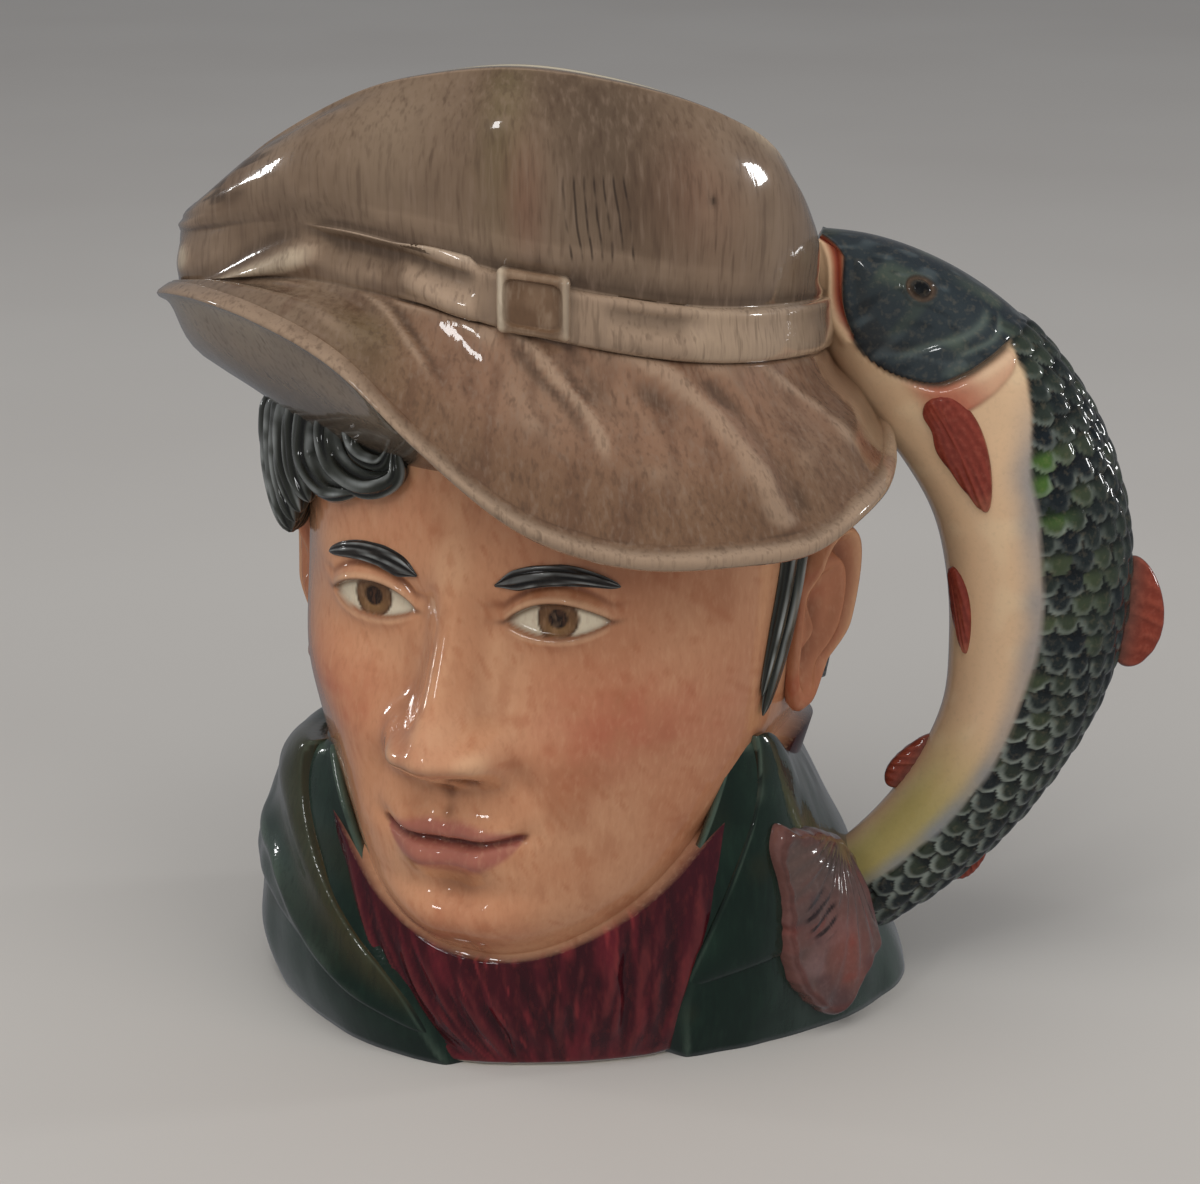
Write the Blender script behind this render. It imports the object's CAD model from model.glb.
"""Looks of the character jug: fine carving, hand painted colours and a clear gloss glaze.

Lengths are in millimetres until a mesh is made. The frame is the part's own: z = 0 is the table,
the face looks towards -Y and the fish handle is at +X. Carved forms have no primitive near their
shape, so they are laid out point by point from the stations below.
"""
import math

import bmesh
import bpy
import numpy as np
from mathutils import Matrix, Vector

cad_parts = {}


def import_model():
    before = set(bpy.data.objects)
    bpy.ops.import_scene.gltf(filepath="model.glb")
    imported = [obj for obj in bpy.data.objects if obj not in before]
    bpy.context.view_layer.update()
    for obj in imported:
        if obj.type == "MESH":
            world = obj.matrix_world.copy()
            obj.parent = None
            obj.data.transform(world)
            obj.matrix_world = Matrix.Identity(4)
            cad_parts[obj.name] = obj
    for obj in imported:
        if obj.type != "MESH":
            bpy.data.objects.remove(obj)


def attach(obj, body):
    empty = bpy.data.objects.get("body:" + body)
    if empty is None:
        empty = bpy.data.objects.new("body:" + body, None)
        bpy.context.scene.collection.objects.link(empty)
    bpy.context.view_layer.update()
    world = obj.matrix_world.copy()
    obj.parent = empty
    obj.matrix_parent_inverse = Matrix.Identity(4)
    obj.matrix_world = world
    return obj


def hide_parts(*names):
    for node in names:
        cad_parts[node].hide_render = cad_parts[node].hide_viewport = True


METRES = 0.001

# Sizes shared with the solid part, in millimetres and degrees
HEAD_CENTRE = np.array((-1.0, -5.0))
HEAD_SQUARENESS = 2.3
COAT_CENTRE = np.array((2.0, 0.0))
FACING = -108.0
CHIN_HEIGHT = 23.0
FACE_WIDTH = 92.0
WALL = 4.4
EYE_DEPTH = 4.0
HANDLE_FILL = 5.0
FLOOR_HEIGHT = 9.0
HAT_LINE = 112.0
BAND_WIDTH = 9.5
BRIM_EDGE = 3.6
HANDLE_CENTRE = (12.0, 79.5)
HANDLE_RADIUS = 72.5
FISH_START = 63.5
FISH_END = -60.0
FISH_PLANE = -2.0
FISH_LENGTH = HANDLE_RADIUS * math.radians(FISH_START - FISH_END)

# Face proportions from its width: five eyes wide, brow, nose and chin an equal third apart
EYE = FACE_WIDTH / 5
THIRD = FACE_WIDTH * 0.39
EYE_SIDE = EYE * 0.96
EYE_LINE = THIRD * 1.76
BROW_LINE = THIRD * 2
NOSE_BASE = THIRD
MOUTH_LINE = THIRD * 0.655
NOSE_PROFILE = ((-10, 0), (NOSE_BASE - 6, 0), (NOSE_BASE - 2.5, 1.5), (NOSE_BASE + 0.5, 9),
                (NOSE_BASE + 4.5, 15.5), (NOSE_BASE + 8, 15), (NOSE_BASE + 13, 11.5), (EYE_LINE - 7, 8),
                (EYE_LINE + 1, 4.6), (BROW_LINE, 1.5), (BROW_LINE + 14, 0), (160, 0))
MOUTH_HALF = EYE * 0.72
EAR_HEIGHT = THIRD

facing_angle = math.radians(FACING)
FORWARD = np.array((math.cos(facing_angle), math.sin(facing_angle)))
SIDEWAYS = np.array((-math.sin(facing_angle), math.cos(facing_angle)))

# Stations by height or azimuth, as on the solid
HEAD_WIDTH = ((20, 27), (32, 35), (44, 40), (58, 43.5), (74, 45.5), (90, 46), (105, 46), (118, 45))
HEAD_FRONT = ((20, 44), (30, 48), (44, 49.5), (60, 49), (76, 48.5), (92, 48.5), (105, 48), (118, 46))
HEAD_BACK = ((20, 34), (32, 38), (44, 41), (58, 43.5), (74, 46), (90, 47.5), (105, 47.5), (118, 46))
CREASE_FRONT = 22.0
JAW_CREASE = ((-180, 50), (-160, 48), (-144, 43), (-130, 31), (-118, 24.5), (-100, CREASE_FRONT),
              (-80, 26), (-62, 34), (-45, 46), (-30, 52), (30, 52), (100, 52))
FOOT = ((-180, 59.5), (-150, 54.5), (-118, 52.5), (-90, 47), (-64, 45), (-38, 49), (-16, 56), (4, 60),
        (45, 56), (90, 50), (135, 54))
COAT_SWELL = ((-180, 3.0), (-140, 2.5), (-90, 1), (-40, 2), (0, 1.5), (90, 4), (150, 4))
COAT_FULLNESS = ((-180, 2.5), (-120, 2.2), (-60, 1.8), (-10, 1.1), (32, 1.15), (75, 2.0), (120, 2.6))
COLLAR_TOP = ((-180, 51), (-150, 54), (-120, 52), (-60, 52), (-44, 58), (-34, 59), (-20, 53), (-5, 48.5),
              (20, 46), (60, 47), (90, 50), (130, 51))
COLLAR_STAND = ((-180, 2.4), (-120, 2.4), (-60, 1.5), (-20, -0.4), (30, -0.6), (90, 2.4))
BRIM_REACH = ((-180, 73.5), (-168, 74), (-150, 71), (-130, 68), (-110, 67), (-90, 69), (-70, 70.5),
              (-50, 70.5), (-30, 67.5), (-14, 62), (10, 57), (50, 54), (90, 56), (130, 62), (160, 70))
BRIM_HEIGHT = ((-180, 131), (-165, 136.5), (-150, 139), (-135, 138), (-120, 132.5), (-107, 121.5),
               (-90, 108.5), (-78, 104), (-60, 102.5), (-48, 102.5), (-36, 106), (-24, 108.5), (0, 111),
               (45, 113), (90, 115), (135, 118), (160, 123))
BELLY_REACH = ((-180, 67), (-160, 64), (-140, 60), (-110, 57), (-60, 57), (-20, 54), (40, 51), (90, 52),
               (140, 60))
BELLY_HEIGHT = ((-180, 121), (-160, 125), (-140, 126), (-110, 118), (-85, 110), (-60, 107.5), (-20, 110),
                (40, 112), (90, 113), (140, 117))
BAND_REACH = ((-180, 70.5), (-165, 68.5), (-150, 61.5), (-130, 55.5), (-110, 53.5), (-90, 52.5), (-60, 52),
              (-30, 48.5), (-5, 47), (30, 47), (90, 50), (140, 59), (160, 66))
BAND_HEIGHT = ((-180, 134.5), (-165, 138), (-150, 142), (-130, 143.5), (-112, 141.5), (-90, 137),
               (-60, 131.5), (-30, 128), (0, 125), (45, 122), (90, 121), (135, 124), (160, 129))
CROWN_REACH = ((-180, 72), (-165, 70), (-150, 64), (-130, 59.5), (-110, 57.5), (-90, 57), (-60, 55.5),
               (-30, 50.5), (-5, 47), (30, 47.5), (90, 51), (140, 60), (160, 67.5))
CROWN_RISE = 0.62
RIM_REACH = ((-180, 63.5), (-165, 61.5), (-150, 56), (-130, 49.5), (-110, 48), (-90, 48), (-60, 47.5),
             (-32, 46.5), (-8, 44), (30, 44), (90, 46.5), (140, 55), (160, 61))
RIM_HEIGHT = ((-180, 151.5), (-165, 156), (-150, 165), (-130, 174.5), (-112, 178.5), (-94, 180),
              (-75, 177.8), (-50, 171), (-34, 164), (-18, 152), (-4, 143.5), (30, 139), (90, 138),
              (140, 141), (162, 146))
COAT_EDGE_RIGHT = ((0, -66), (0.25, -70), (0.6, -62), (0.85, -50), (1, -42))
COAT_EDGE_LEFT = ((0, -110), (0.25, -115), (0.5, -127), (0.8, -140), (1, -149))
LAPEL_SET_BACK = ((0, 3), (0.3, 7), (0.6, 11), (0.85, 10), (1, 5))
LAPEL_FOOT = ((-180, 26), (-160, 20), (-140, 10), (-122, 4), (-100, 1), (-80, 12), (-66, 13.5), (-48, 16),
              (-25, 20), (0, 23), (60, 26), (120, 27))
LAPEL_THICKNESS = ((-180, 3.4), (-110, 3.2), (-60, 2.8), (-22, 1.6), (0, 1.2), (35, 1.4), (80, 3.0),
                   (120, 3.4))
FISH_BACK = ((0, 1.5), (0.05, 4.9), (0.11, 8.3), (0.19, 12.1), (0.29, 15.6), (0.38, 17.5), (0.5, 18.1),
             (0.6, 16.8), (0.72, 13.8), (0.86, 11.2), (1, 9.5))
FISH_BELLY = ((0, 6.5), (0.05, 14.5), (0.11, 18), (0.2, 20), (0.3, 18.6), (0.4, 16.6), (0.5, 15.4),
              (0.6, 13.6), (0.69, 11), (0.82, 9.4), (1, 7.5))
FISH_SIDE = ((0, 3.5), (0.05, 7.0), (0.14, 10.5), (0.3, 12.5), (0.5, 12.5), (0.65, 11.0), (0.8, 8.6),
             (0.92, 7), (1, 6))
TAIL_HEART = (-30.0, 20.0)
TAIL_OUTLINE = ((0, 17), (15, 18.5), (30, 20), (44, 20.5), (58, 19.5), (73, 19.8), (90, 20), (104, 22.5),
                (113, 24.6), (120, 21.8), (129, 15.8), (142, 12.4), (162, 10.7), (196, 10.4), (225, 11.8),
                (245, 13.4), (262, 15.7), (271, 16.5), (280, 15.4), (291, 13.4), (305, 12.8), (321, 13.7),
                (335, 15.8), (348, 16.6), (360, 17))


def smooth(low, high, value):
    """A soft step from 0 at low to 1 at high."""
    t = np.clip((value - low) / (high - low), 0.0, 1.0)
    return t * t * (3 - 2 * t)


def mound(x, y, x0, y0, wide, tall):
    """A round hill of height 1."""
    return np.exp(-((x - x0) / wide) ** 2 - ((y - y0) / tall) ** 2)


def ridge(value, place, wide):
    """A long hill of height 1 along a line."""
    return np.exp(-((value - place) / wide) ** 2)


def through(stations, at):
    """Smooth curve through (place, value) stations, read at any places."""
    place, value = np.array(stations, float).T
    at = np.clip(np.asarray(at, float), place[0], place[-1])
    slope = np.gradient(value, place)
    i = np.clip(np.searchsorted(place, at, side="right") - 1, 0, len(place) - 2)
    span = place[i + 1] - place[i]
    t = (at - place[i]) / span
    start = (2 * t ** 3 - 3 * t ** 2 + 1) * value[i] + (t ** 3 - 2 * t ** 2 + t) * span * slope[i]
    end = (3 * t ** 2 - 2 * t ** 3) * value[i + 1] + (t ** 3 - t ** 2) * span * slope[i + 1]
    return start + end


def around(stations, azimuth):
    """The same for a closed curve, with places in degrees of azimuth from -180 to 180."""
    before = [(a - 360, v) for a, v in stations[-3:]]
    after = [(a + 360, v) for a, v in stations[:3]]
    return through(before + list(stations) + after, (np.asarray(azimuth) + 180) % 360 - 180)


def wrapped(azimuth):
    """Azimuth between -180 and 180."""
    return (np.asarray(azimuth) + 180) % 360 - 180


def noise(x, y, size, seed):
    """Smooth value noise between -1 and 1, with cells of the given size."""
    lattice = np.random.default_rng(seed).uniform(-1, 1, (97, 97))
    x, y = np.asarray(x) / size, np.asarray(y) / size
    i, j = np.floor(x).astype(int), np.floor(y).astype(int)
    s, t = x - i, y - j
    s, t = s * s * (3 - 2 * s), t * t * (3 - 2 * t)
    a, b = lattice[i % 97, j % 97], lattice[(i + 1) % 97, j % 97]
    c, d = lattice[i % 97, (j + 1) % 97], lattice[(i + 1) % 97, (j + 1) % 97]
    return (a * (1 - s) + b * s) * (1 - t) + (c * (1 - s) + d * s) * t


def round_noise(azimuth, y, size, seed):
    """The same noise round a ring, without a seam at the back."""
    join = smooth(150, 180, azimuth)
    return noise(azimuth, y, size, seed) * (1 - join) + noise(azimuth - 360, y, size, seed) * join


def polar(centre, azimuth, radius, height):
    """Points at an azimuth and radius about an upright axis."""
    a = np.radians(azimuth)
    x = centre[0] + radius * np.cos(a)
    y = centre[1] + radius * np.sin(a)
    return np.stack(np.broadcast_arrays(x, y, height), -1)


def paint(code):
    """Linear colour of a paint given as six hex digits."""
    parts = np.array([int(code[i:i + 2], 16) for i in (0, 2, 4)]) / 255
    return np.where(parts <= 0.04045, parts / 12.92, ((parts + 0.055) / 1.055) ** 2.4)


def wash(colour, *coats):
    """Lay paints over colours, each given as its code and its strength at each point."""
    for code, amount in coats:
        amount = np.clip(amount, 0, 1)[..., None]
        colour = colour * (1 - amount) + paint(code) * amount
    return colour


def head_radius(azimuth, height):
    """Radius of the plain head, before the features, about HEAD_CENTRE."""
    turn = np.radians(azimuth - FACING)
    side = np.abs(np.sin(turn)) / through(HEAD_WIDTH, height)
    ahead = np.where(np.cos(turn) > 0, through(HEAD_FRONT, height), through(HEAD_BACK, height))
    ahead = np.abs(np.cos(turn) / ahead)
    return (side ** HEAD_SQUARENESS + ahead ** HEAD_SQUARENESS) ** (-1 / HEAD_SQUARENESS)


def head_point(azimuth, height, out=0.0):
    """A point on the plain head, moved outwards by out."""
    return polar(HEAD_CENTRE, azimuth, head_radius(azimuth, height) + out, height)


def eye_opening(u, v):
    """Across the eye, up it, its two lid edges, and how far a point is between them."""
    a = np.abs(u)
    e = (a - EYE_SIDE) / (EYE * 0.5)
    f = v - EYE_LINE - 0.05 * (a - EYE_SIDE)
    upper = 3.5 * np.clip(1 - np.abs(e) ** 2.2, 0, 1)
    lower = -2.6 * np.clip(1 - np.abs(e) ** 2.0, 0, 1)
    inside = smooth(-0.3, 0.5, upper - f) * smooth(-0.3, 0.5, f - lower) * smooth(1.03, 0.86, np.abs(e))
    return e, f, upper, lower, inside


def mouth_height(a):
    """Where the lips meet, rising a little to the corners."""
    return MOUTH_LINE - 0.5 + 1.7 * (a / MOUTH_HALF) ** 2


def face_relief(u, v):
    """How far the features stand out; u is across the face, v up from the chin."""
    a = np.abs(u)
    w = v - mouth_height(np.minimum(a, MOUTH_HALF * 1.15))
    brow = 2.6 * mound(a, v, EYE_SIDE * 0.95, BROW_LINE - 2.5, 14, 5.0)
    brow = brow + 1.0 * mound(a, v, 0, BROW_LINE, 9, 8)
    sockets = -6.4 * mound(a, v, EYE_SIDE * 0.86, EYE_LINE + 1.5, 11, 7.5)
    slim = 3.9 + 2.9 * np.exp(-((v - NOSE_BASE - 5) / 8) ** 2)
    nose = 0.6 * np.exp(-(a / slim) ** 2.4) + 0.4 * np.exp(-(a / (slim * 1.9)) ** 2)
    nose = through(NOSE_PROFILE, v) * nose
    wings = 5.2 * mound(a, v, 8.2, NOSE_BASE + 4.4, 3.7, 4.4)
    nostril = -2.6 * mound(a, v, 4.3, NOSE_BASE - 0.2, 2.3, 1.3)
    muzzle = 4.6 * np.exp(-(a / 21) ** 2.2) * smooth(-6, 12, v) * smooth(NOSE_BASE + 10, NOSE_BASE - 12, v)
    chin = 3.4 * mound(a, v, 0, MOUTH_LINE - 17.5, 11, 6.5)
    under_lip = -2.2 * mound(a, v, 0, MOUTH_LINE - 10, 11, 3.0)
    bow = 0.8 * np.exp(-((a - 3.2) / 3.0) ** 2)
    part_line = smooth(MOUTH_HALF + 0.5, MOUTH_HALF - 6, a)
    upper = 1.8 * np.exp(-((w - 2.1 - bow) / (1.6 + 0.8 * part_line)) ** 2) * part_line
    lower = 2.4 * np.exp(-((w + 3.1) / 2.7) ** 2) * smooth(MOUTH_HALF - 1, MOUTH_HALF - 9, a)
    mouth = -2.0 * np.exp(-(w / 0.8) ** 2) * smooth(MOUTH_HALF + 1.5, MOUTH_HALF - 2, a)
    corners = -1.0 * mound(a, w, MOUTH_HALF + 0.6, 0.2, 2.6, 2.4)
    groove = -0.9 * mound(a, v, 0, NOSE_BASE - 5, 1.7, 4.0)
    cheek = 3.4 * mound(a, v, 29, NOSE_BASE + 13, 12, 9) + 2.4 * mound(a, v, 20.5, NOSE_BASE + 2, 9, 10)
    line = 12.0 + (NOSE_BASE + 4 - v) * 0.42
    fold = -0.9 * ridge(a, line, 2.6) * smooth(NOSE_BASE - 14, NOSE_BASE - 4, v)
    fold = fold * smooth(NOSE_BASE + 9, NOSE_BASE + 3, v)
    hollow = -1.6 * mound(a, v, 31, MOUTH_LINE + 2, 9, 13) - 1.6 * mound(a, v, 38, BROW_LINE + 2, 7, 12)
    e, f, upper_edge, lower_edge, inside = eye_opening(u, v)
    ball = 5.2 * np.exp(-(np.abs(e) / 1.05) ** 2.4 - (np.abs(f) / 5.6) ** 2.4)
    ends = np.exp(-(np.abs(e) / 1.02) ** 6)
    lids = 0.75 * ridge(f, upper_edge + 0.8, 0.85) + 0.4 * ridge(f, lower_edge - 0.9, 0.9)
    crease = -0.8 * ridge(f, upper_edge + 3.1, 0.9) * np.exp(-(np.abs(e) / 1.1) ** 4)
    return (brow + sockets + nose + wings + nostril + muzzle + chin + under_lip + upper + lower + mouth
            + corners + groove + cheek + fold + hollow + ball - 1.1 * inside + lids * ends + crease)


def face_place(points):
    """Across, up and ahead of points on the head."""
    flat = points[..., :2] - HEAD_CENTRE
    return flat @ SIDEWAYS, points[..., 2] - CHIN_HEIGHT, smooth(2.0, 24.0, flat @ FORWARD)


def with_face(points):
    """Lay the features on head points, only on the side that looks forward."""
    u, v, front = face_place(points)
    moved = points.copy()
    moved[..., :2] += (face_relief(u, v) * front)[..., None] * FORWARD
    return moved


def face_point(u, v, out=0.0):
    """The point of the finished face at u across and v up."""
    height = v + CHIN_HEIGHT
    azimuth = np.full(np.shape(u), FACING)
    for _ in range(6):
        azimuth = FACING + np.degrees(np.arcsin(np.clip(u / head_radius(azimuth, height), -0.99, 0.99)))
    return with_face(head_point(azimuth, height)) + out * np.append(FORWARD, 0.0)


def coat_point(azimuth, t, out=0.0):
    """A point on the coat's outside; t runs from the foot to the collar's top edge."""
    foot = around(FOOT, azimuth) + around(COAT_SWELL, azimuth)
    top = head_radius(azimuth, around(COLLAR_TOP, azimuth)) + around(COLLAR_STAND, azimuth)
    fall = 1 - np.clip(t, 0, 1) ** around(COAT_FULLNESS, azimuth)
    tuck = around(COAT_SWELL, azimuth) * (1 - np.clip(t / 0.24, 0, 1)) ** 2
    centre = HEAD_CENTRE + (COAT_CENTRE - HEAD_CENTRE) * fall[..., None]
    radius = top + (foot - top) * fall - tuck + out
    a = np.radians(azimuth)
    height = around(COLLAR_TOP, azimuth) * t
    return np.stack((centre[..., 0] + radius * np.cos(a), centre[..., 1] + radius * np.sin(a), height), -1)


def hat_ring(azimuth, reach, height, out=0.0, up=0.0):
    """One closed line of the hat."""
    return polar(HEAD_CENTRE, azimuth, around(reach, azimuth) + out, around(height, azimuth) + up)


def between(first, second, t, out=0.0, up=0.0):
    """A ring part of the way from one ring to another, bulged outwards or upwards."""
    ring = first + (second - first) * t
    flat = ring[:, :2] - HEAD_CENTRE
    ring[:, :2] += out * flat / np.linalg.norm(flat, axis=1)[:, None]
    ring[:, 2] += up
    return ring


def crown_ring(azimuth, t, out=0.0):
    """A ring of the crown, from the band's top at t = 0 to the rim at 1."""
    head = hat_ring(azimuth, BAND_REACH, BAND_HEIGHT, -0.4, BAND_WIDTH)
    rim = hat_ring(azimuth, RIM_REACH, RIM_HEIGHT)
    full = hat_ring(azimuth, CROWN_REACH, BAND_HEIGHT, 0, BAND_WIDTH)
    full[:, 2] += CROWN_RISE * (rim[:, 2] - full[:, 2])
    ring = head * (1 - t) ** 2 + full * 2 * t * (1 - t) + rim * t ** 2
    return between(ring, ring, 0, out)


def fish_point(along, turn, out=0.0):
    """A point on the fish: along from snout to tail, turn in degrees from its back over the near side."""
    arc = np.radians(FISH_START + (FISH_END - FISH_START) * along)
    turn = np.radians(turn)
    deep = np.where(np.cos(turn) > 0, through(FISH_BACK, along), through(FISH_BELLY, along)) + out
    radius = HANDLE_RADIUS + deep * np.cos(turn)
    side = -(through(FISH_SIDE, along) + out) * np.sin(turn)
    return np.stack(np.broadcast_arrays(HANDLE_CENTRE[0] + radius * np.cos(arc), FISH_PLANE + side,
                                        HANDLE_CENTRE[1] + radius * np.sin(arc)), -1)


def finish_piece(piece, colours, material, extra=None, second=None, count=0):
    """Give a piece its stored colours, its materials, smooth outward faces and its place on the body."""
    mesh = piece.data
    layer = mesh.color_attributes.new("paint", "FLOAT_COLOR", "POINT")
    rgba = np.ones((len(mesh.vertices), 4))
    rgba[:, :3] = np.clip(colours, 0, 1)
    layer.data.foreach_set("color", rgba.ravel())
    for key, values in (extra or {}).items():
        place = mesh.attributes.new(key, "FLOAT_VECTOR", "POINT")
        place.data.foreach_set("vector", np.asarray(values, float).ravel())
    mesh.materials.append(material)
    if second:
        mesh.materials.append(second)
        mesh.polygons.foreach_set("material_index", (np.arange(len(mesh.polygons)) < count).astype(int))
    mesh.update()
    shape = bmesh.new()
    shape.from_mesh(mesh)
    bmesh.ops.recalc_face_normals(shape, faces=shape.faces)
    for face in shape.faces:
        face.smooth = True
    shape.to_mesh(mesh)
    shape.free()
    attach(piece, "root")
    return piece


def make_piece(name, points, faces, colours, material, extra=None, second=None, count=0):
    """A carved piece of the jug, whose surface is laid out point by point in millimetres."""
    mesh = bpy.data.meshes.new(name)
    mesh.from_pydata(np.asarray(points) * METRES, [], faces)
    piece = bpy.data.objects.new(name, mesh)
    bpy.context.scene.collection.objects.link(piece)
    return finish_piece(piece, colours, material, extra, second, count)


def grid_faces(rows, columns, closed, start=0):
    """Quads of a grid of points, joined round its columns when closed."""
    r, c = np.meshgrid(np.arange(rows - 1), np.arange(columns if closed else columns - 1), indexing="ij")
    d = (c + 1) % columns
    quads = np.stack((r * columns + c, r * columns + d, (r + 1) * columns + d, (r + 1) * columns + c), -1)
    return (quads.reshape(-1, 4) + start).tolist()


def ring_piece(name, rings, colours, material, extra=None, join_ends=False, second=None, second_rows=0):
    """A closed piece through rings of points; its ends are joined together or closed by fans."""
    rings = np.asarray(rings)
    rows, columns = rings.shape[:2]
    faces = grid_faces(rows, columns, True)
    points, tints = rings.reshape(-1, 3), np.asarray(colours).reshape(-1, 3)
    last = (rows - 1) * columns
    extra = {k: np.asarray(v).reshape(-1, 3) for k, v in (extra or {}).items()}
    if join_ends:
        for c in range(columns):
            d = (c + 1) % columns
            faces.append((last + c, last + d, d, c))
    else:
        points = np.concatenate((points, rings[0].mean(0)[None], rings[-1].mean(0)[None]))
        tints = np.concatenate((tints, tints[:1], tints[-1:]))
        extra = {k: np.concatenate((v, v[:1], v[-1:])) for k, v in extra.items()}
        for c in range(columns):
            d = (c + 1) % columns
            faces.append((rows * columns, d, c))
            faces.append((rows * columns + 1, last + c, last + d))
    return make_piece(name, points, faces, tints, material, extra, second, second_rows * columns)


def sheet_piece(name, outer, inner, colours, material):
    """A closed piece between two grids of points, painted alike inside and out."""
    rows, columns = outer.shape[:2]
    half = rows * columns
    faces = grid_faces(rows, columns, False) + grid_faces(rows, columns, False, half)
    edge = [(0, c) for c in range(columns)] + [(r, columns - 1) for r in range(1, rows)]
    edge += [(rows - 1, c) for c in range(columns - 2, -1, -1)] + [(r, 0) for r in range(rows - 2, 0, -1)]
    for (r, c), (p, q) in zip(edge, edge[1:] + edge[:1]):
        a, b = r * columns + c, p * columns + q
        faces.append((b, a, half + a, half + b))
    points = np.concatenate((outer.reshape(-1, 3), inner.reshape(-1, 3)))
    tints = np.tile(colours.reshape(-1, 3), (2, 1))
    return make_piece(name, points, faces, tints, material)


def loft(rings, counts):
    """A smooth surface through rings, with so many steps in each gap between them."""
    rings = np.asarray(rings)
    padded = np.concatenate((2 * rings[:1] - rings[1:2], rings, 2 * rings[-1:] - rings[-2:-1]))
    rows, zone = [], []
    for i, count in enumerate(counts):
        a, b, c, d = padded[i:i + 4]
        for t in np.arange(count) / count:
            rows.append(0.5 * (2 * b + (c - a) * t + (2 * a - 5 * b + 4 * c - d) * t ** 2
                               + (3 * b - a - 3 * c + d) * t ** 3))
            zone.append(i + t)
    rows.append(rings[-1])
    zone.append(len(rings) - 1.0)
    return np.array(rows), np.array(zone)


def grid_normals(grid, closed=True):
    """Unit normals of a grid whose columns go round."""
    if closed:
        across = np.roll(grid, -1, 1) - np.roll(grid, 1, 1)
    else:
        across = np.gradient(grid, axis=1)
    up = np.gradient(grid, axis=0)
    normal = np.cross(across, up)
    return normal / np.maximum(np.linalg.norm(normal, axis=2), 1e-9)[..., None]


def bulge(grid, closed=True, reach=2):
    """How far each point of a grid stands proud of the points around it, in millimetres."""
    normal = grid_normals(grid, closed)
    mean = np.zeros_like(grid)
    padded = np.pad(grid, ((reach, reach), (0, 0), (0, 0)), "edge")
    for step in (-reach, reach):
        mean += padded[reach + step:len(grid) + reach + step]
        mean += np.roll(grid, step, 1)
    proud = ((grid - mean / 4) * normal).sum(2)
    return proud * np.sign((normal[..., :2] * (grid[..., :2] - HEAD_CENTRE)).sum(2).mean())


def body_columns(count, evenness):
    """Azimuths around the body, closer together across the face."""
    x = np.arange(count) / count * 2 - 1
    return FACING + 180 * (evenness * x + (1 - evenness) * x ** 3)


# The clear glaze over every colour: a thin glassy coat with sharp reflections on a dull painted body
GLAZE = {"Roughness": 0.22, "Specular IOR Level": 0.08, "Coat Weight": 1.0, "Coat Roughness": 0.03,
         "Coat IOR": 1.5}
DUST = "2a211c"


def add_node(material, kind, inputs=None, **settings):
    """Add a node with its settings, and give its inputs values or links from other sockets."""
    tree = material.node_tree
    made = tree.nodes.new(kind)
    for key, value in settings.items():
        setattr(made, key, value)
    for key, value in (inputs or {}).items():
        if isinstance(value, bpy.types.NodeSocket):
            tree.links.new(value, made.inputs[key])
        else:
            made.inputs[key].default_value = value
    return made


def cells(size):
    """Scale of a noise texture whose cells are so many millimetres wide."""
    return 1 / (size * METRES)


def start_material(name, settings):
    """A material with its shader's own settings, ready for its patterns."""
    material = bpy.data.materials.new(name)
    material.use_nodes = True
    shader = material.node_tree.nodes["Principled BSDF"]
    for key, value in settings.items():
        shader.inputs[key].default_value = value
    return material, shader


def glazed(name, light, dark, stroke=1.1, mottle=0.15, streak=0.1, speck=0.0, peel=0.0):
    """Cast earthenware, painted by hand and fired under a clear glaze.

    The eye sees the painter's colours stored on the points, broken by brush marks 1.1 mm wide and
    stroke mm long, by thin patches and by kiln specks, under a glassy skin that ripples a little.
    """
    material, shader = start_material(name, GLAZE)
    place = add_node(material, "ShaderNodeTexCoord").outputs["Object"]
    brushed = add_node(material, "ShaderNodeMapping",
                       {"Vector": place, "Scale": (1, 1, 1.1 / stroke)}).outputs[0]
    pattern = {}
    for key, where, size, detail in (("streaks", brushed, 1.1, 2), ("patches", place, 11, 3),
                                     ("dashes", brushed, 0.8, 1),
                                     ("specks", place, 0.7, 1), ("ripple", place, 7, 2),
                                     ("grain", place, 0.9, 1)):
        settings = {"Vector": where, "Scale": cells(size), "Detail": detail, "Roughness": 0.55}
        pattern[key] = add_node(material, "ShaderNodeTexNoise", settings).outputs["Fac"]
    tint = add_node(material, "ShaderNodeAttribute", attribute_name="paint").outputs["Color"]
    for key, low, high, amount, colour in (
            ("streaks", 0.52, 0.72, streak, light), ("streaks", 0.46, 0.3, streak, dark),
            ("patches", 0.5, 0.75, mottle, dark), ("dashes", 0.57, 0.72, streak * 0.75, dark),
            ("specks", 0.74, 0.8, speck, DUST)):
        settings = {"Value": pattern[key], "From Min": low, "From Max": high, "To Max": amount}
        part = add_node(material, "ShaderNodeMapRange", settings).outputs["Result"]
        settings = {0: part, 6: tint, 7: (*paint(colour), 1)}
        tint = add_node(material, "ShaderNodeMix", settings, data_type="RGBA").outputs[2]
    material.node_tree.links.new(tint, shader.inputs["Base Color"])
    wavy = 0.0
    for key, weight in (("streaks", 0.35), ("ripple", 1.0), ("grain", peel)):
        settings = {0: pattern[key], 1: weight, 2: wavy}
        wavy = add_node(material, "ShaderNodeMath", settings, operation="MULTIPLY_ADD").outputs[0]
    skin = add_node(material, "ShaderNodeBump",
                    {"Height": wavy, "Strength": 1.0, "Distance": 0.06 * METRES})
    for key in ("Normal", "Coat Normal"):
        material.node_tree.links.new(skin.outputs[0], shader.inputs[key])
    return material


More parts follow.
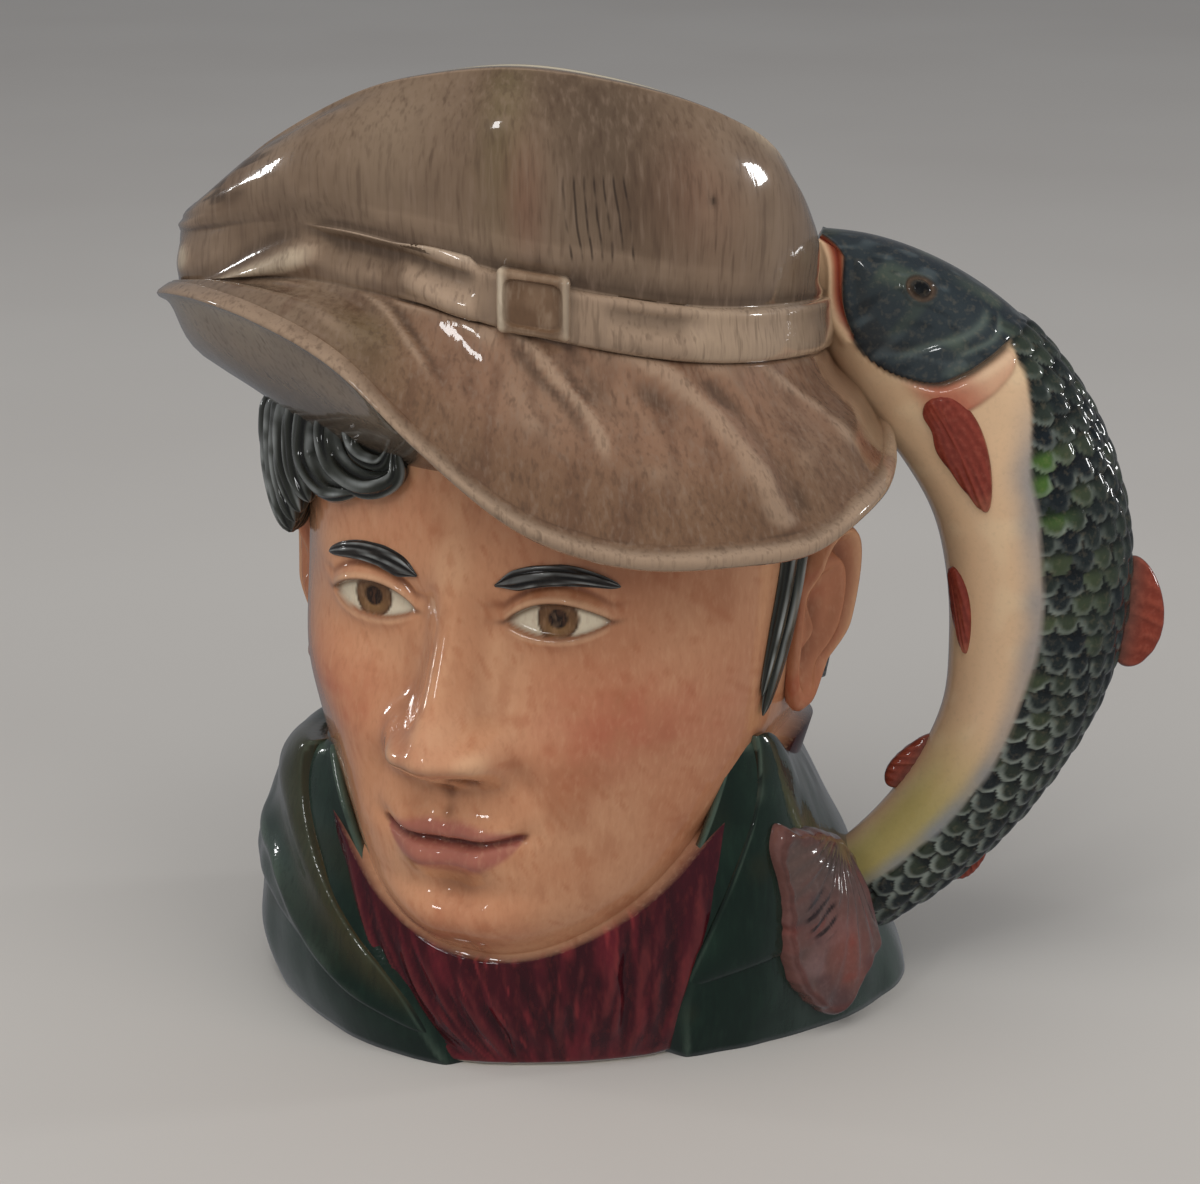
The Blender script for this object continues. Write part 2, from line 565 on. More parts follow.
def hat_glaze():
    """The hat's brushed brown, with a patch of thin dark strokes 1.7 mm apart on the crown's front."""
    material = glazed("brown_hat_earthenware", "8d7867", "4a382d", 12.0, 0.2, 0.36, 0.12)
    shader = material.node_tree.nodes["Principled BSDF"]
    mark = add_node(material, "ShaderNodeAttribute", attribute_name="place").outputs["Vector"]
    place = add_node(material, "ShaderNodeSeparateXYZ", {0: mark}).outputs
    where = add_node(material, "ShaderNodeTexCoord").outputs["Object"]
    wander = add_node(material, "ShaderNodeTexNoise",
                      {"Vector": where, "Scale": cells(14), "Detail": 1}).outputs["Fac"]
    across = add_node(material, "ShaderNodeMath", {0: wander, 1: 2.0, 2: place[0]},
                      operation="MULTIPLY_ADD").outputs[0]
    across = add_node(material, "ShaderNodeMath", {0: across, 1: 1.0}, operation="SUBTRACT").outputs[0]
    lines = add_node(material, "ShaderNodeMath", {0: across, 1: 1.7 / 2}, operation="PINGPONG").outputs[0]
    settings = {"Value": lines, "From Min": 0.3, "From Max": 0.08}
    amount = add_node(material, "ShaderNodeMapRange", settings).outputs["Result"]
    stretched = add_node(material, "ShaderNodeMapping", {"Vector": where, "Scale": (1, 1, 0.4)}).outputs[0]
    broken = add_node(material, "ShaderNodeTexNoise",
                      {"Vector": stretched, "Scale": cells(2.5), "Roughness": 0.55})
    settings = {"Value": broken.outputs["Fac"], "From Min": 0.4, "From Max": 0.55, "To Max": 0.75}
    parts = [add_node(material, "ShaderNodeMapRange", settings).outputs["Result"]]
    for side, half in ((place[0], 6.5), (place[1], 7.5)):
        far = add_node(material, "ShaderNodeMath", {0: side}, operation="ABSOLUTE").outputs[0]
        settings = {"Value": far, "From Min": half, "From Max": half * 0.82}
        parts.append(add_node(material, "ShaderNodeMapRange", settings).outputs["Result"])
    for part in parts:
        amount = add_node(material, "ShaderNodeMath", {0: amount, 1: part}, operation="MULTIPLY").outputs[0]
    felt = shader.inputs["Base Color"].links[0].from_socket
    settings = {0: amount, 6: felt, 7: (*paint("2e241e"), 1)}
    strokes = add_node(material, "ShaderNodeMix", settings, data_type="RGBA").outputs[2]
    material.node_tree.links.new(strokes, shader.inputs["Base Color"])
    return material


def floor_paper():
    """Matt paper of the studio sweep, in two near greys that change over 330 mm."""
    material, shader = start_material("matt_paper_sweep", {"Roughness": 0.5, "Specular IOR Level": 0.08})
    place = add_node(material, "ShaderNodeTexCoord").outputs["Object"]
    cloud = add_node(material, "ShaderNodeTexNoise",
                     {"Vector": place, "Scale": cells(330), "Detail": 3}).outputs["Fac"]
    settings = {"Value": cloud, "From Min": 0.3, "From Max": 0.7}
    part = add_node(material, "ShaderNodeMapRange", settings).outputs["Result"]
    settings = {0: part, 6: (*paint("cfccc7"), 1), 7: (*paint("c8c4bf"), 1)}
    tone = add_node(material, "ShaderNodeMix", settings, data_type="RGBA").outputs[2]
    material.node_tree.links.new(tone, shader.inputs["Base Color"])
    return material


def scarf_height(azimuth):
    """Height of the crease where the scarf meets the jaw."""
    return around(JAW_CREASE, azimuth)


def drape(middle, t):
    """Which fold of the scarf a place belongs to; the folds spread from the throat up to the jaw."""
    narrow = 0.45 + 0.27 * smooth(-20, 20, middle)
    return middle / (narrow + (1 - narrow) * t)


def scarf_rows(azimuth, steps):
    """The foot and the scarf up to the crease under the jaw, with soft folds round the neck."""
    crease = scarf_height(azimuth)
    middle = wrapped(azimuth) + 92
    foot = around(FOOT, azimuth) - 2.6 * smooth(20, 36, np.abs(middle))
    edge = polar(COAT_CENTRE, azimuth, foot, 0.0)
    neck = head_point(azimuth, crease, 2.2)
    neck[:, 2] -= 0.6
    hidden = smooth(50, 66, np.abs(middle))
    highest = np.minimum(0.94 * crease / around(COLLAR_TOP, azimuth), 0.86)
    rows = [between(edge, edge, 0, -1.4), between(edge, edge, 0, -0.4, 0.3)]
    for t in steps:
        under_coat = coat_point(azimuth, highest * t, -3.0)
        ring = (edge + (neck - edge) * t) * (1 - hidden[:, None]) + under_coat * hidden[:, None]
        flat = ring[:, :2] - COAT_CENTRE
        q, up = drape(middle, t), 9 * t + 0 * middle
        folds = 1.5 * noise(q, up, 7.5, 3) + 0.7 * noise(q, up, 3.3, 4) + 0.25 * noise(q * 1.5, up, 1.5, 5)
        folds = folds - 1.2 * ridge(q, -15, 1.7) - 1.0 * ridge(q, 21, 1.6)
        folds = folds + 0.7 * ridge(q, 25, 2.0) + 0.6 * ridge(q, -19, 2.2)
        swell = (2.2 + folds * smooth(66, 40, np.abs(middle))) * math.sin(math.pi * min(t, 1))
        swell = swell * (1 - hidden)
        ring[:, :2] += swell[:, None] * flat / np.linalg.norm(flat, axis=1)[:, None]
        ring[:, 2] = np.maximum(ring[:, 2], 0.8)
        rows.append(ring)
    return rows + [neck]


def inside_rows(azimuth):
    """The cavity's wall from under the hat down to the floor."""
    turned = np.abs(wrapped(azimuth - FACING))
    wall = WALL + EYE_DEPTH * smooth(62, 34, turned)
    chest = smooth(84, 56, turned)
    root = HANDLE_FILL * smooth(42, 16, np.abs(wrapped(azimuth)))
    rings = [head_point(azimuth, HAT_LINE + 1.0, -wall), head_point(azimuth, 86.0, -wall),
             head_point(azimuth, 54.0, -wall - 0.6 * smooth(60, 90, turned)),
             head_point(azimuth, 46.0, -wall - 1.4 * smooth(60, 90, turned))]
    way_in = WALL + 1.0
    behind_chin = head_point(azimuth, 36.0, -way_in - 3.0)
    behind_scarf = polar(COAT_CENTRE, azimuth, around(FOOT, azimuth) - way_in, 16.0)
    for scarf in (behind_chin, behind_scarf):
        coat = coat_point(azimuth, scarf[:, 2] / around(COLLAR_TOP, azimuth), -way_in - root)
        rings.append(coat + (scarf - coat) * chest[:, None])
    for way_in, up in ((10.0, 1.5), (17.0, 0.0)):
        rings.append(polar(COAT_CENTRE, azimuth, around(FOOT, azimuth) - way_in - root, FLOOR_HEIGHT + up))
    return rings


def face_colours(points, relief_of):
    """Skin, blush, washes in the creases, lips and eyes."""
    u, v, front = face_place(points)
    a = np.abs(u)
    skin = np.broadcast_to(paint("c68d69"), points.shape)
    skin = wash(skin,
        ("d6a883", 0.5 * smooth(-0.2, 0.9, noise(u, v, 9, 11)) + 0.1),
        ("9e6040", 0.36 * smooth(0.1, 0.9, noise(u * 1.6, v * 0.7, 5, 12))),
        ("a8633f", 0.34 * smooth(0.3, 0.8, noise(u * 2.2 + v, v * 0.9, 2.2, 14))),
        ("8a4c34", 0.34 * front * smooth(4, 30, u)),
        ("e0a078", 0.3 * front * smooth(4, -20, u)))
    blush = 0.62 * mound(a, v, 28, NOSE_BASE + 9, 14, 9) + 0.3 * mound(a, v, 0, NOSE_BASE + 6, 7, 6)
    blush = blush + 0.3 * mound(a, v, 0, 5, 14, 7) + 0.18 * mound(a, v, 20, BROW_LINE + 10, 16, 8)
    skin = wash(skin, ("b4604a", front * blush * (0.8 + 0.3 * noise(u, v, 2.2, 13))))
    spread = [(1.6, 0), (-1.6, 0), (0, 1.6), (0, -1.6), (1.1, 1.1), (-1.1, 1.1), (1.1, -1.1), (-1.1, -1.1)]
    mean = sum(relief_of(u + x, v + y) for x, y in spread) / 8
    hollow = (mean - relief_of(u, v)) * front
    skin = wash(skin,
        ("7c4a30", smooth(0.04, 0.75, hollow) * 0.85),
        ("e6c29c", smooth(0.1, 0.8, -hollow) * 0.35))
    w = v - mouth_height(np.minimum(a, MOUTH_HALF * 1.15))
    bow = 0.8 * np.exp(-((a - 3.2) / 3.0) ** 2)
    thin = np.clip(1 - (a / MOUTH_HALF) ** 2, 0, 1)
    lips = smooth(4.3 * thin ** 0.7 + bow + 0.5, 3.2 * thin ** 0.7 + bow - 0.3, w)
    lips = lips * smooth(-6.4 * thin ** 0.6 - 0.3, -5.2 * thin ** 0.6 + 0.4, w)
    lips = lips * smooth(MOUTH_HALF + 0.6, MOUTH_HALF - 0.8, a)
    skin = wash(skin,
        ("a35f55", front * lips * 0.85),
        ("5e2a24", front * ridge(w, 0, 0.7) * smooth(MOUTH_HALF + 1.2, MOUTH_HALF - 1, a) * 0.9))
    e, f, upper_edge, lower_edge, inside = eye_opening(u, v)
    white = smooth(0.35, 0.8, inside) * front
    skin = wash(skin,
        ("dccfb6", white),
        ("b08a74", white * smooth(0.72, 1.0, np.abs(e)) * 0.7))
    far = np.hypot(a - EYE_SIDE, f - 0.7)
    iris = smooth(3.95, 3.55, far) * white
    skin = wash(skin,
        ("6b4d33", iris),
        ("8d6a44", iris * mound(a, f, EYE_SIDE, -1.2, 2.4, 1.6) * 0.8),
        ("2a1d15", iris * (smooth(3.1, 3.7, far) * 0.85 + smooth(1.95, 1.55, far))),
        ("6a4c3a", white * smooth(1.3, 0.2, upper_edge - f) * 0.6))
    lash = np.exp(-(np.abs(e) / 1.08) ** 10)
    skin = wash(skin,
        ("2c211b", front * ridge(f, upper_edge + 0.05, 0.42) * lash * 0.95),
        ("6a4031", front * ridge(f, lower_edge - 0.1, 0.6) * lash * 0.5),
        ("7e4a33", front * ridge(f, upper_edge + 3.1, 0.6) * np.exp(-(np.abs(e) / 1.1) ** 4) * 0.55))
    return skin


def scarf_colours(points, azimuth, t):
    """Maroon with redder brush strokes, darker folds and a plainer strip near the foot."""
    t = t[:, None]
    middle = wrapped(azimuth)[None, :] + 92 + 0 * t
    q, tall = drape(middle, t), 14 * t + 0 * middle
    colour = np.broadcast_to(paint("3f0e17"), points.shape)
    return wash(colour,
        ("5e1b22", smooth(0.38, 0.2, t) * smooth(0.0, 0.6, noise(q, tall, 4, 20) + 0.5) * 0.7),
        ("70202a", smooth(0.15, 0.8, noise(q, tall * 0.3, 1.9, 21)) * 0.55),
        ("8f3034", smooth(0.45, 0.85, noise(q * 1.3, tall * 0.45, 1.6, 22)) * smooth(34, 20, np.abs(q))
         * 0.6),
        ("24080f", smooth(0.05, 0.7, noise(q * 0.9, tall * 0.25, 2.8, 23)) * 0.55),
        ("3b0f1b", smooth(28, 48, np.abs(middle)) * 0.5),
        ("7c3535", smooth(0.05, 0.25, bulge(points, True, 3)) * 0.35),
        ("240a10", smooth(-0.03, -0.2, bulge(points, True, 3)) * 0.6))


def make_head(material, cloth):
    """The scarf, the face and the cavity's wall as one closed shell."""
    azimuth = body_columns(392, 0.42)
    steps = np.linspace(0.02, 0.985, 46)
    scarf = scarf_rows(azimuth, steps)
    crease = scarf_height(azimuth)
    levels = np.concatenate((np.linspace(-1, 30, 56)[:-1], np.linspace(30, 57, 44)[:-1],
                             np.linspace(57, 70, 44)[:-1], np.linspace(70, 92, 36)))
    rows = []
    for level in levels:
        t = (level + CHIN_HEIGHT - CREASE_FRONT) / (HAT_LINE - CREASE_FRONT)
        plain = head_point(azimuth, crease + (HAT_LINE - crease) * t, -1.5 * (1 - min(t, 1)) ** 12)
        rows.append(with_face(plain))
    face = np.array(rows)
    wall, _ = loft(inside_rows(azimuth), [3] * 7)
    base = [between(scarf[0], scarf[0], 0, -6.0, 0.6)]
    scarf_grid = np.array(base + scarf)
    t = np.concatenate(((0, 0, 0), steps, (1,)))
    cream = np.broadcast_to(paint("ddd0b4"), wall.shape)
    colours = np.concatenate((scarf_colours(scarf_grid, azimuth, t), face_colours(face, face_relief),
                              cream))
    colours[:3] = paint("d8ccb2")
    shell = np.concatenate((scarf_grid, face, wall))
    return ring_piece("head", shell, colours, material, second=cloth, second_rows=len(scarf_grid) - 1)


def crease_line(a, z, path, width):
    """How near places of the hat are to a line of (azimuth, row) stations."""
    line = through([(row, azimuth) for azimuth, row in path], z)
    first, last = path[0][1], path[-1][1]
    near = ridge((a - line) * math.radians(1) * 60, 0, width)
    return near * smooth(first - 0.35, first + 0.5, z) * smooth(last + 0.35, last - 0.5, z)


# The hat's rows are numbered from its hidden start inside the head: 1 the belly under the brim, 3 the
# brim's edge, 4 to 10 the brim, 10 to 16 the band, 16 to 21 the crown, 21 the rim, and then the inside.
# Soft folds of the brim: line of (azimuth, row) stations from edge to band, half width and height
BRIM_FOLDS = (
    (((-79.0, 6.3), (-79.9, 6.9), (-83.8, 7.75), (-89.3, 8.5), (-94.0, 9.1), (-98.0, 9.7)), 1.9, 0.75),
    (((-72.5, 6.4), (-74.5, 7.2), (-78.5, 8.0), (-83.0, 8.8), (-87.0, 9.4)), 3.8, -0.5),
    (((-89.0, 6.2), (-92.5, 7.2), (-97.0, 8.2), (-101.0, 9.2)), 5.0, 0.6),
    (((-51.5, 4.9), (-53.6, 5.9), (-57.0, 6.9), (-61.2, 8.0), (-69.0, 9.0)), 3.8, 0.9),
    (((-46.5, 5.1), (-48.5, 6.2), (-51.5, 7.4), (-57.0, 8.6)), 3.6, -0.6),
    (((-60.5, 5.2), (-63.5, 6.3), (-67.0, 7.4), (-72.0, 8.5)), 4.4, -0.6),
    (((-30.5, 5.6), (-32.0, 6.6), (-36.0, 7.8), (-42.0, 8.8)), 3.0, 0.5),
    (((-104.0, 6.2), (-109.0, 7.2), (-114.0, 8.2), (-119.0, 9.0)), 2.2, -0.4),
    (((-107.5, 6.4), (-112.0, 7.3), (-117.0, 8.3), (-122.0, 9.0)), 3.2, 0.4),
    (((-124.0, 5.4), (-128.0, 6.6), (-134.0, 8.0), (-140.0, 9.0)), 5.0, 0.4),
)


def tuck_row(a):
    """Row of the light fold of felt at the left of the band."""
    return 11.2 + 0.11 * (a + 146)


def hat_relief(azimuth, zone):
    """Soft folds of the felt, in millimetres outwards, by azimuth and place along the hat's rows."""
    a = wrapped(azimuth)[None, :] + 0 * zone[:, None]
    z = zone[:, None] + 0 * a
    out = sum(height * crease_line(a, z, path, width) for path, width, height in BRIM_FOLDS)
    out = out + 0.15 * round_noise(a, z * 7, 9, 30) * smooth(4.6, 5.4, z) * smooth(10.2, 9.4, z)
    upper = smooth(-100, -103, a) * smooth(-138, -128, a)
    out = out + 1.3 * ridge(z, 15.0 - 0.3 * smooth(-110, -130, a), 0.75) * upper
    out = out - 0.8 * ridge(z, 13.2, 0.8) * upper
    lower = smooth(-99, -102, a) * smooth(-119, -112, a)
    out = out + 0.9 * ridge(z, 11.6 + 1.2 * smooth(-104, -118, a), 0.8) * lower
    out = out - 0.7 * ridge(z, 10.2, 0.4) * lower
    tuck = smooth(-126, -143, a) * smooth(-163, -149, a)
    out = out + 1.3 * ridge(z, tuck_row(a), 0.8) * tuck - 0.5 * ridge(z, tuck_row(a) + 1.6, 0.9) * tuck
    out = out + 0.9 * mound(a, z, -167, 12.4, 4.0, 1.1)
    out = out - 0.5 * ridge(z, 14.2, 0.9) * mound(a, 0, -160, 0, 12, 1)
    right = smooth(-80, -74, a) * smooth(-57, -62, a)
    out = out + right * (0.45 * ridge(z, 14.2, 0.9) + 0.35 * ridge(z, 11.8, 0.7)
                         - 0.8 * ridge(z, 13.0, 0.5))
    crown = smooth(16.5, 17.5, z) * smooth(21.0, 20.0, z)
    out = out + crown * (0.9 * round_noise(a, z * 6, 19, 31) + 0.15 * round_noise(a, z * 7, 8, 32))
    return out + 0.03 * round_noise(a, z * 9, 3.2, 33) * smooth(22.2, 21.5, z)


def make_hat(felt, cream):
    """The whole hat: under the brim, its rolled edge, brim, band, crown, rim and the cavity inside it."""
    azimuth = body_columns(372, 0.8)
    half = BRIM_EDGE / 2
    turned = np.abs(wrapped(azimuth - FACING))
    wall = WALL + EYE_DEPTH * smooth(62, 34, turned)
    start = head_point(azimuth, HAT_LINE - 2.0, -2.0)
    belly = hat_ring(azimuth, BELLY_REACH, BELLY_HEIGHT)
    under = hat_ring(azimuth, BRIM_REACH, BRIM_HEIGHT, -2.2, -half)
    over = hat_ring(azimuth, BRIM_REACH, BRIM_HEIGHT, -2.2, half)
    foot = hat_ring(azimuth, BAND_REACH, BAND_HEIGHT)
    head, rim = crown_ring(azimuth, 0), crown_ring(azimuth, 1)
    rings = [start, belly, under, hat_ring(azimuth, BRIM_REACH, BRIM_HEIGHT), over]
    rings += [between(over, foot, 0.07, 0, -0.35), between(over, foot, 0.35, 0, 0.4),
              between(over, foot, 0.6, 0, -0.4),
              between(over, foot, 0.8, 0, -0.8), between(foot, foot, 0, 0.5, -0.5), foot]
    turn = wrapped(azimuth)
    stand = (0.1 + np.where(turn < 0, smooth(-118, -101, turn), smooth(180, 160, turn)))[:, None]
    rings += [between(foot, foot, 0, 1.15 * stand, 0.7), between(foot, foot, 0, 1.4 * stand, 3.0),
              between(head, head, 0, 1.3 * stand, -3.0), between(head, head, 0, 1.1 * stand, -0.7), head,
              between(head, head, 0, 0.1, 0.5)]
    rings += [crown_ring(azimuth, t) for t in (0.16, 0.4, 0.64, 0.84)]
    rings += [rim, between(rim, rim, 0, -0.8, 0.9), between(rim, rim, 0, -WALL + 1.4, 0.9),
              between(rim, rim, 0, -WALL + 0.5, 0.0)]
    rings += [crown_ring(azimuth, 0.6, -WALL), crown_ring(azimuth, 0.2, -WALL)]
    band = hat_ring(azimuth, BAND_REACH, BAND_HEIGHT, -WALL - 0.4, 3.0)
    throat = head_point(azimuth, HAT_LINE + 3.0, -wall)
    rings += [band, between(throat, band, 0.5, 1.6, -1.0), throat,
              head_point(azimuth, HAT_LINE - 3.0, -wall)]
    counts = [4, 6, 4, 4, 4, 10, 10, 8, 6, 3, 3, 4, 4, 4, 3, 2, 4, 12, 14, 12, 8, 5, 4, 3, 6, 6, 4, 3, 3, 2]
    grid, zone = loft(rings, counts)
    normal = grid_normals(grid)
    outer = slice(60, 140)
    outward = np.sign((normal[outer, :, :2] * (grid[outer, :, :2] - HEAD_CENTRE)).sum(2).mean())
    grid = grid + normal * outward * hat_relief(azimuth, zone)[..., None]
    return ring_piece("hat", grid, hat_colours(grid, azimuth, zone), cream, {"place": hatch_place(grid)},
                      join_ends=True, second=felt, second_rows=int((zone < 22.6).sum()))


def hatch_place(grid):
    """Millimetres across and up from the middle of the strokes painted on the crown's front."""
    flat = grid[..., :2] - HEAD_CENTRE
    azimuth = np.degrees(np.arctan2(flat[..., 1], flat[..., 0]))
    across = wrapped(azimuth + 79) * math.radians(1) * 52
    up = grid[..., 2] - 157.0
    ahead = np.where(flat @ FORWARD > 0, 0.0, 50.0)
    return np.stack((across + 0.12 * up, up + ahead, 0 * up), -1)


def hat_colours(grid, azimuth, zone):
    """Browns of the felt, the lighter band, the pale inside and the greyer underside of the brim."""
    a = wrapped(azimuth)[None, :] + 0 * zone[:, None]
    z = zone[:, None] + 0 * a
    proud = bulge(grid, True, 3)
    felt = np.broadcast_to(paint("7f6a57"), grid.shape)
    brim = smooth(3.4, 4.2, z) * smooth(10.2, 9.6, z)
    front = smooth(178, 140, a)
    left = smooth(-178, -165, a)
    felt = wash(felt,
        ("73553f", brim * front * smooth(-130, -105, a) * 0.85),
        ("93705a", brim * front * smooth(-125, -100, a) * smooth(5.2, 7.0, z) * 0.7),
        ("a08a74", (1 - 0.4 * brim) * smooth(0.0, 0.9, round_noise(a, z * 5, 13, 41)) * 0.35),
        ("5d4636", (1 - 0.3 * brim) * smooth(0.0, 0.9, round_noise(a, z * 4, 9, 42)) * 0.45),
        ("5c4031", brim * smooth(0.1, 0.7, round_noise(a, z * 2.2, 2.1, 45)) * 0.4),
        ("3f3024", 0.62 * mound(a, z, -77, 18.8, 15, 2.7) + 0.35 * mound(a, z, -84, 21, 20, 1.4)),
        ("5f5636", 0.5 * mound(a, z, -96, 19.5, 4.5, 2.4) + 0.4 * mound(a, z, -118, 6.5, 6, 1.5)),
        ("7c5545", 0.5 * mound(a, z, -92, 17.8, 3.5, 1.3) + 0.4 * mound(a, z, -58, 18.6, 9, 1.2)),
        ("94816c", 0.45 * mound(a, z, -120, 18.4, 14, 2.5)),
        ("8f7a66", 0.5 * mound(a, z, -50, 20, 9, 1.8)),
        ("b49a82", smooth(0.03, 0.28, proud) * 0.55),
        ("3c2e24", smooth(-0.04, -0.3, proud) * 0.6))
    dabs = smooth(0.1, 0.5, noise(a, z * 9, 3.4, 43)) * smooth(-139, -150, a) * left
    felt = wash(felt,
        ("33281f", dabs * smooth(17, 18, z) * smooth(20.6, 19.8, z) * 0.7),
        ("33281f", mound(a, z, -57, 18.4, 0.7, 0.1)))
    band = smooth(10.0, 10.5, z) * smooth(16.0, 15.5, z)
    felt = wash(felt,
        ("9d8671", band * front * smooth(-106, -98, a) * (0.65 + 0.3 * round_noise(a, z * 4, 5, 44))),
        ("b39c84", band * smooth(-64, -60, a) * smooth(-20, -35, a) * 0.6),
        ("c4ae98", 0.8 * ridge(z, 14.9, 0.6) * smooth(-100, -103, a) * smooth(-136, -120, a)),
        ("b99f87", 0.6 * ridge(z, 12.2, 0.7) * smooth(-100, -102, a) * smooth(-117, -108, a)))
    tuck = smooth(-128, -142, a) * smooth(-162, -150, a)
    felt = wash(felt,
        ("cdbba2", smooth(0.2, 0.8, ridge(z, tuck_row(a), 0.75) * tuck) * 0.75),
        ("c8b79f", smooth(0.4, 0.8, mound(a, z, -167, 12.4, 4.0, 0.9)) * 0.8))
    edges = ridge(z, 10.0, 0.35) * 0.8 + ridge(z, 16.2, 0.4) * 0.6
    felt = wash(felt,
        ("36281f", edges * front * smooth(-118, -100, a)),
        ("8c7e6e", smooth(2.6, 1.6, z) * 0.85),
        ("a89b88", ridge(z, 2.0, 0.35) * smooth(-125, -140, a) * left * 0.7),
        ("453c34", smooth(1.5, 0.3, z) * 0.85),
        ("c7b399", ridge(z, 21.5, 0.8) * smooth(-52, -38, a) * smooth(10, -8, a) * 0.85))
    return wash(felt, ("ddd0b4", smooth(22.3, 23.2, z)))


def coat_colours(points, proud, seed):
    """Bottle green that thins to grey green on its edges and pools darker in its folds."""
    u = points[..., 0] + points[..., 1]
    v = points[..., 2]
    green = np.broadcast_to(paint("0e2018"), points.shape)
    green = wash(green,
        ("1b3025", smooth(0.0, 0.9, noise(u, v, 8, seed)) * 0.5),
        ("302d1a", smooth(0.2, 0.8, noise(u, v, 9, seed + 1)) * 0.35))
    turn = np.degrees(np.arctan2(points[..., 1] - COAT_CENTRE[1], points[..., 0] - COAT_CENTRE[0]))
    return wash(green,
        ("5a6863", smooth(40, 64, np.abs(wrapped(turn + 92))) * (0.3 + 0.12 * noise(u, v, 5, seed + 2))),
        ("57675a", smooth(0.05, 0.35, proud) * 0.7),
        ("0a140f", smooth(-0.03, -0.3, proud) * 0.7))


def make_coat(material):
    """The coat from its left front edge round the back to its right one."""
    down = np.linspace(0, 1, 64)[:, None] ** 0.9
    x = np.linspace(0, 1, 300)[None, :]
    across = 0.55 * x + 0.45 * (1 - np.cos(x * math.pi)) / 2
    right = through(COAT_EDGE_RIGHT, down)
    left = through(COAT_EDGE_LEFT, down) + 360
    azimuth = right + (left - right) * across
    from_edge = np.minimum(azimuth - right, left - azimuth)
    rounded = smooth(-1, 1.4 * through(LAPEL_SET_BACK, down), from_edge) * (1 - down ** 14) ** 0.5
    folds = 0.5 * noise(azimuth, 30 * down + 0.3 * azimuth, 14, 51)
    folds = folds + 0.25 * noise(azimuth, 30 * down, 6, 52)
    outer = coat_point(azimuth, down + 0 * across, 4.0 * rounded - 2.6 + folds * rounded)
    inner = coat_point(azimuth, down + 0 * across, -4.2)
    outer[..., 2] = np.maximum(outer[..., 2], 0.0)
    return sheet_piece("coat", outer, inner, coat_colours(outer, bulge(outer, False, 2), 53), material)


def make_lapels(material):
    """The turned down collar and lapels, a second layer over the coat."""
    down = (0.5 - 0.5 * np.cos(np.linspace(0, 1, 56) * math.pi))[:, None]
    x = np.linspace(0, 1, 320)[None, :]
    across = 0.5 * x + 0.5 * (1 - np.cos(x * math.pi)) / 2
    start = through(COAT_EDGE_RIGHT, 0.5)
    middle = start + (through(COAT_EDGE_LEFT, 0.5) + 360 - start) * across
    low = np.clip(around(LAPEL_FOOT, middle) / around(COLLAR_TOP, middle), 0, 0.9)
    t = low + (1 - low) * down
    right = through(COAT_EDGE_RIGHT, t) + through(LAPEL_SET_BACK, t)
    left = through(COAT_EDGE_LEFT, t) + 360 - through(LAPEL_SET_BACK, t)
    azimuth = right + (left - right) * across
    rounded = (1 - np.abs(2 * across - 1) ** 30) ** 0.5 * (1 - np.abs(2 * down - 1) ** 9) ** 0.5
    folds = 0.45 * noise(azimuth, 40 * t, 13, 61) + 0.2 * noise(azimuth, 40 * t, 5, 62)
    turn = wrapped(azimuth)
    left_crest = through(((-172, 0.64), (-156, 0.52), (-149, 0.41), (-138, 0.29), (-126, 0.14),
                          (-117, 0.08)), turn)
    up = (t - left_crest) * 52
    there = smooth(-178, -168, turn) * smooth(-110, -122, turn)
    folds = folds + there * (1.2 * ridge(up, 0, 2.3) - 0.9 * ridge(up, 6.5, 4.0) + 0.5 * ridge(up, 14, 4.0))
    right_crest = through(((-70, 0.2), (-66.2, 0.32), (-59.4, 0.54), (-47.8, 0.71), (-42, 0.84)), turn)
    up = (t - right_crest) * 30
    edge = smooth(-71, -67, turn) * smooth(-38, -44, turn)
    folds = folds + edge * (0.7 * ridge(up, 0, 1.1) - 0.6 * ridge(up, -2.6, 2.0))
    outer = coat_point(azimuth, t, (around(LAPEL_THICKNESS, azimuth) + folds) * rounded + 0.4)
    outer[..., 2] += 1.6 * down * rounded
    inner = coat_point(azimuth, t, -3.0)
    colours = coat_colours(outer, bulge(outer, False, 2), 63)
    colours = wash(colours,
        ("4d4226", there * smooth(3, 9, (t - left_crest) * 52) * 0.4),
        ("71806f", edge * ridge(up, 0, 0.8) * 0.7))
    return sheet_piece("lapels", outer, inner, colours, material)


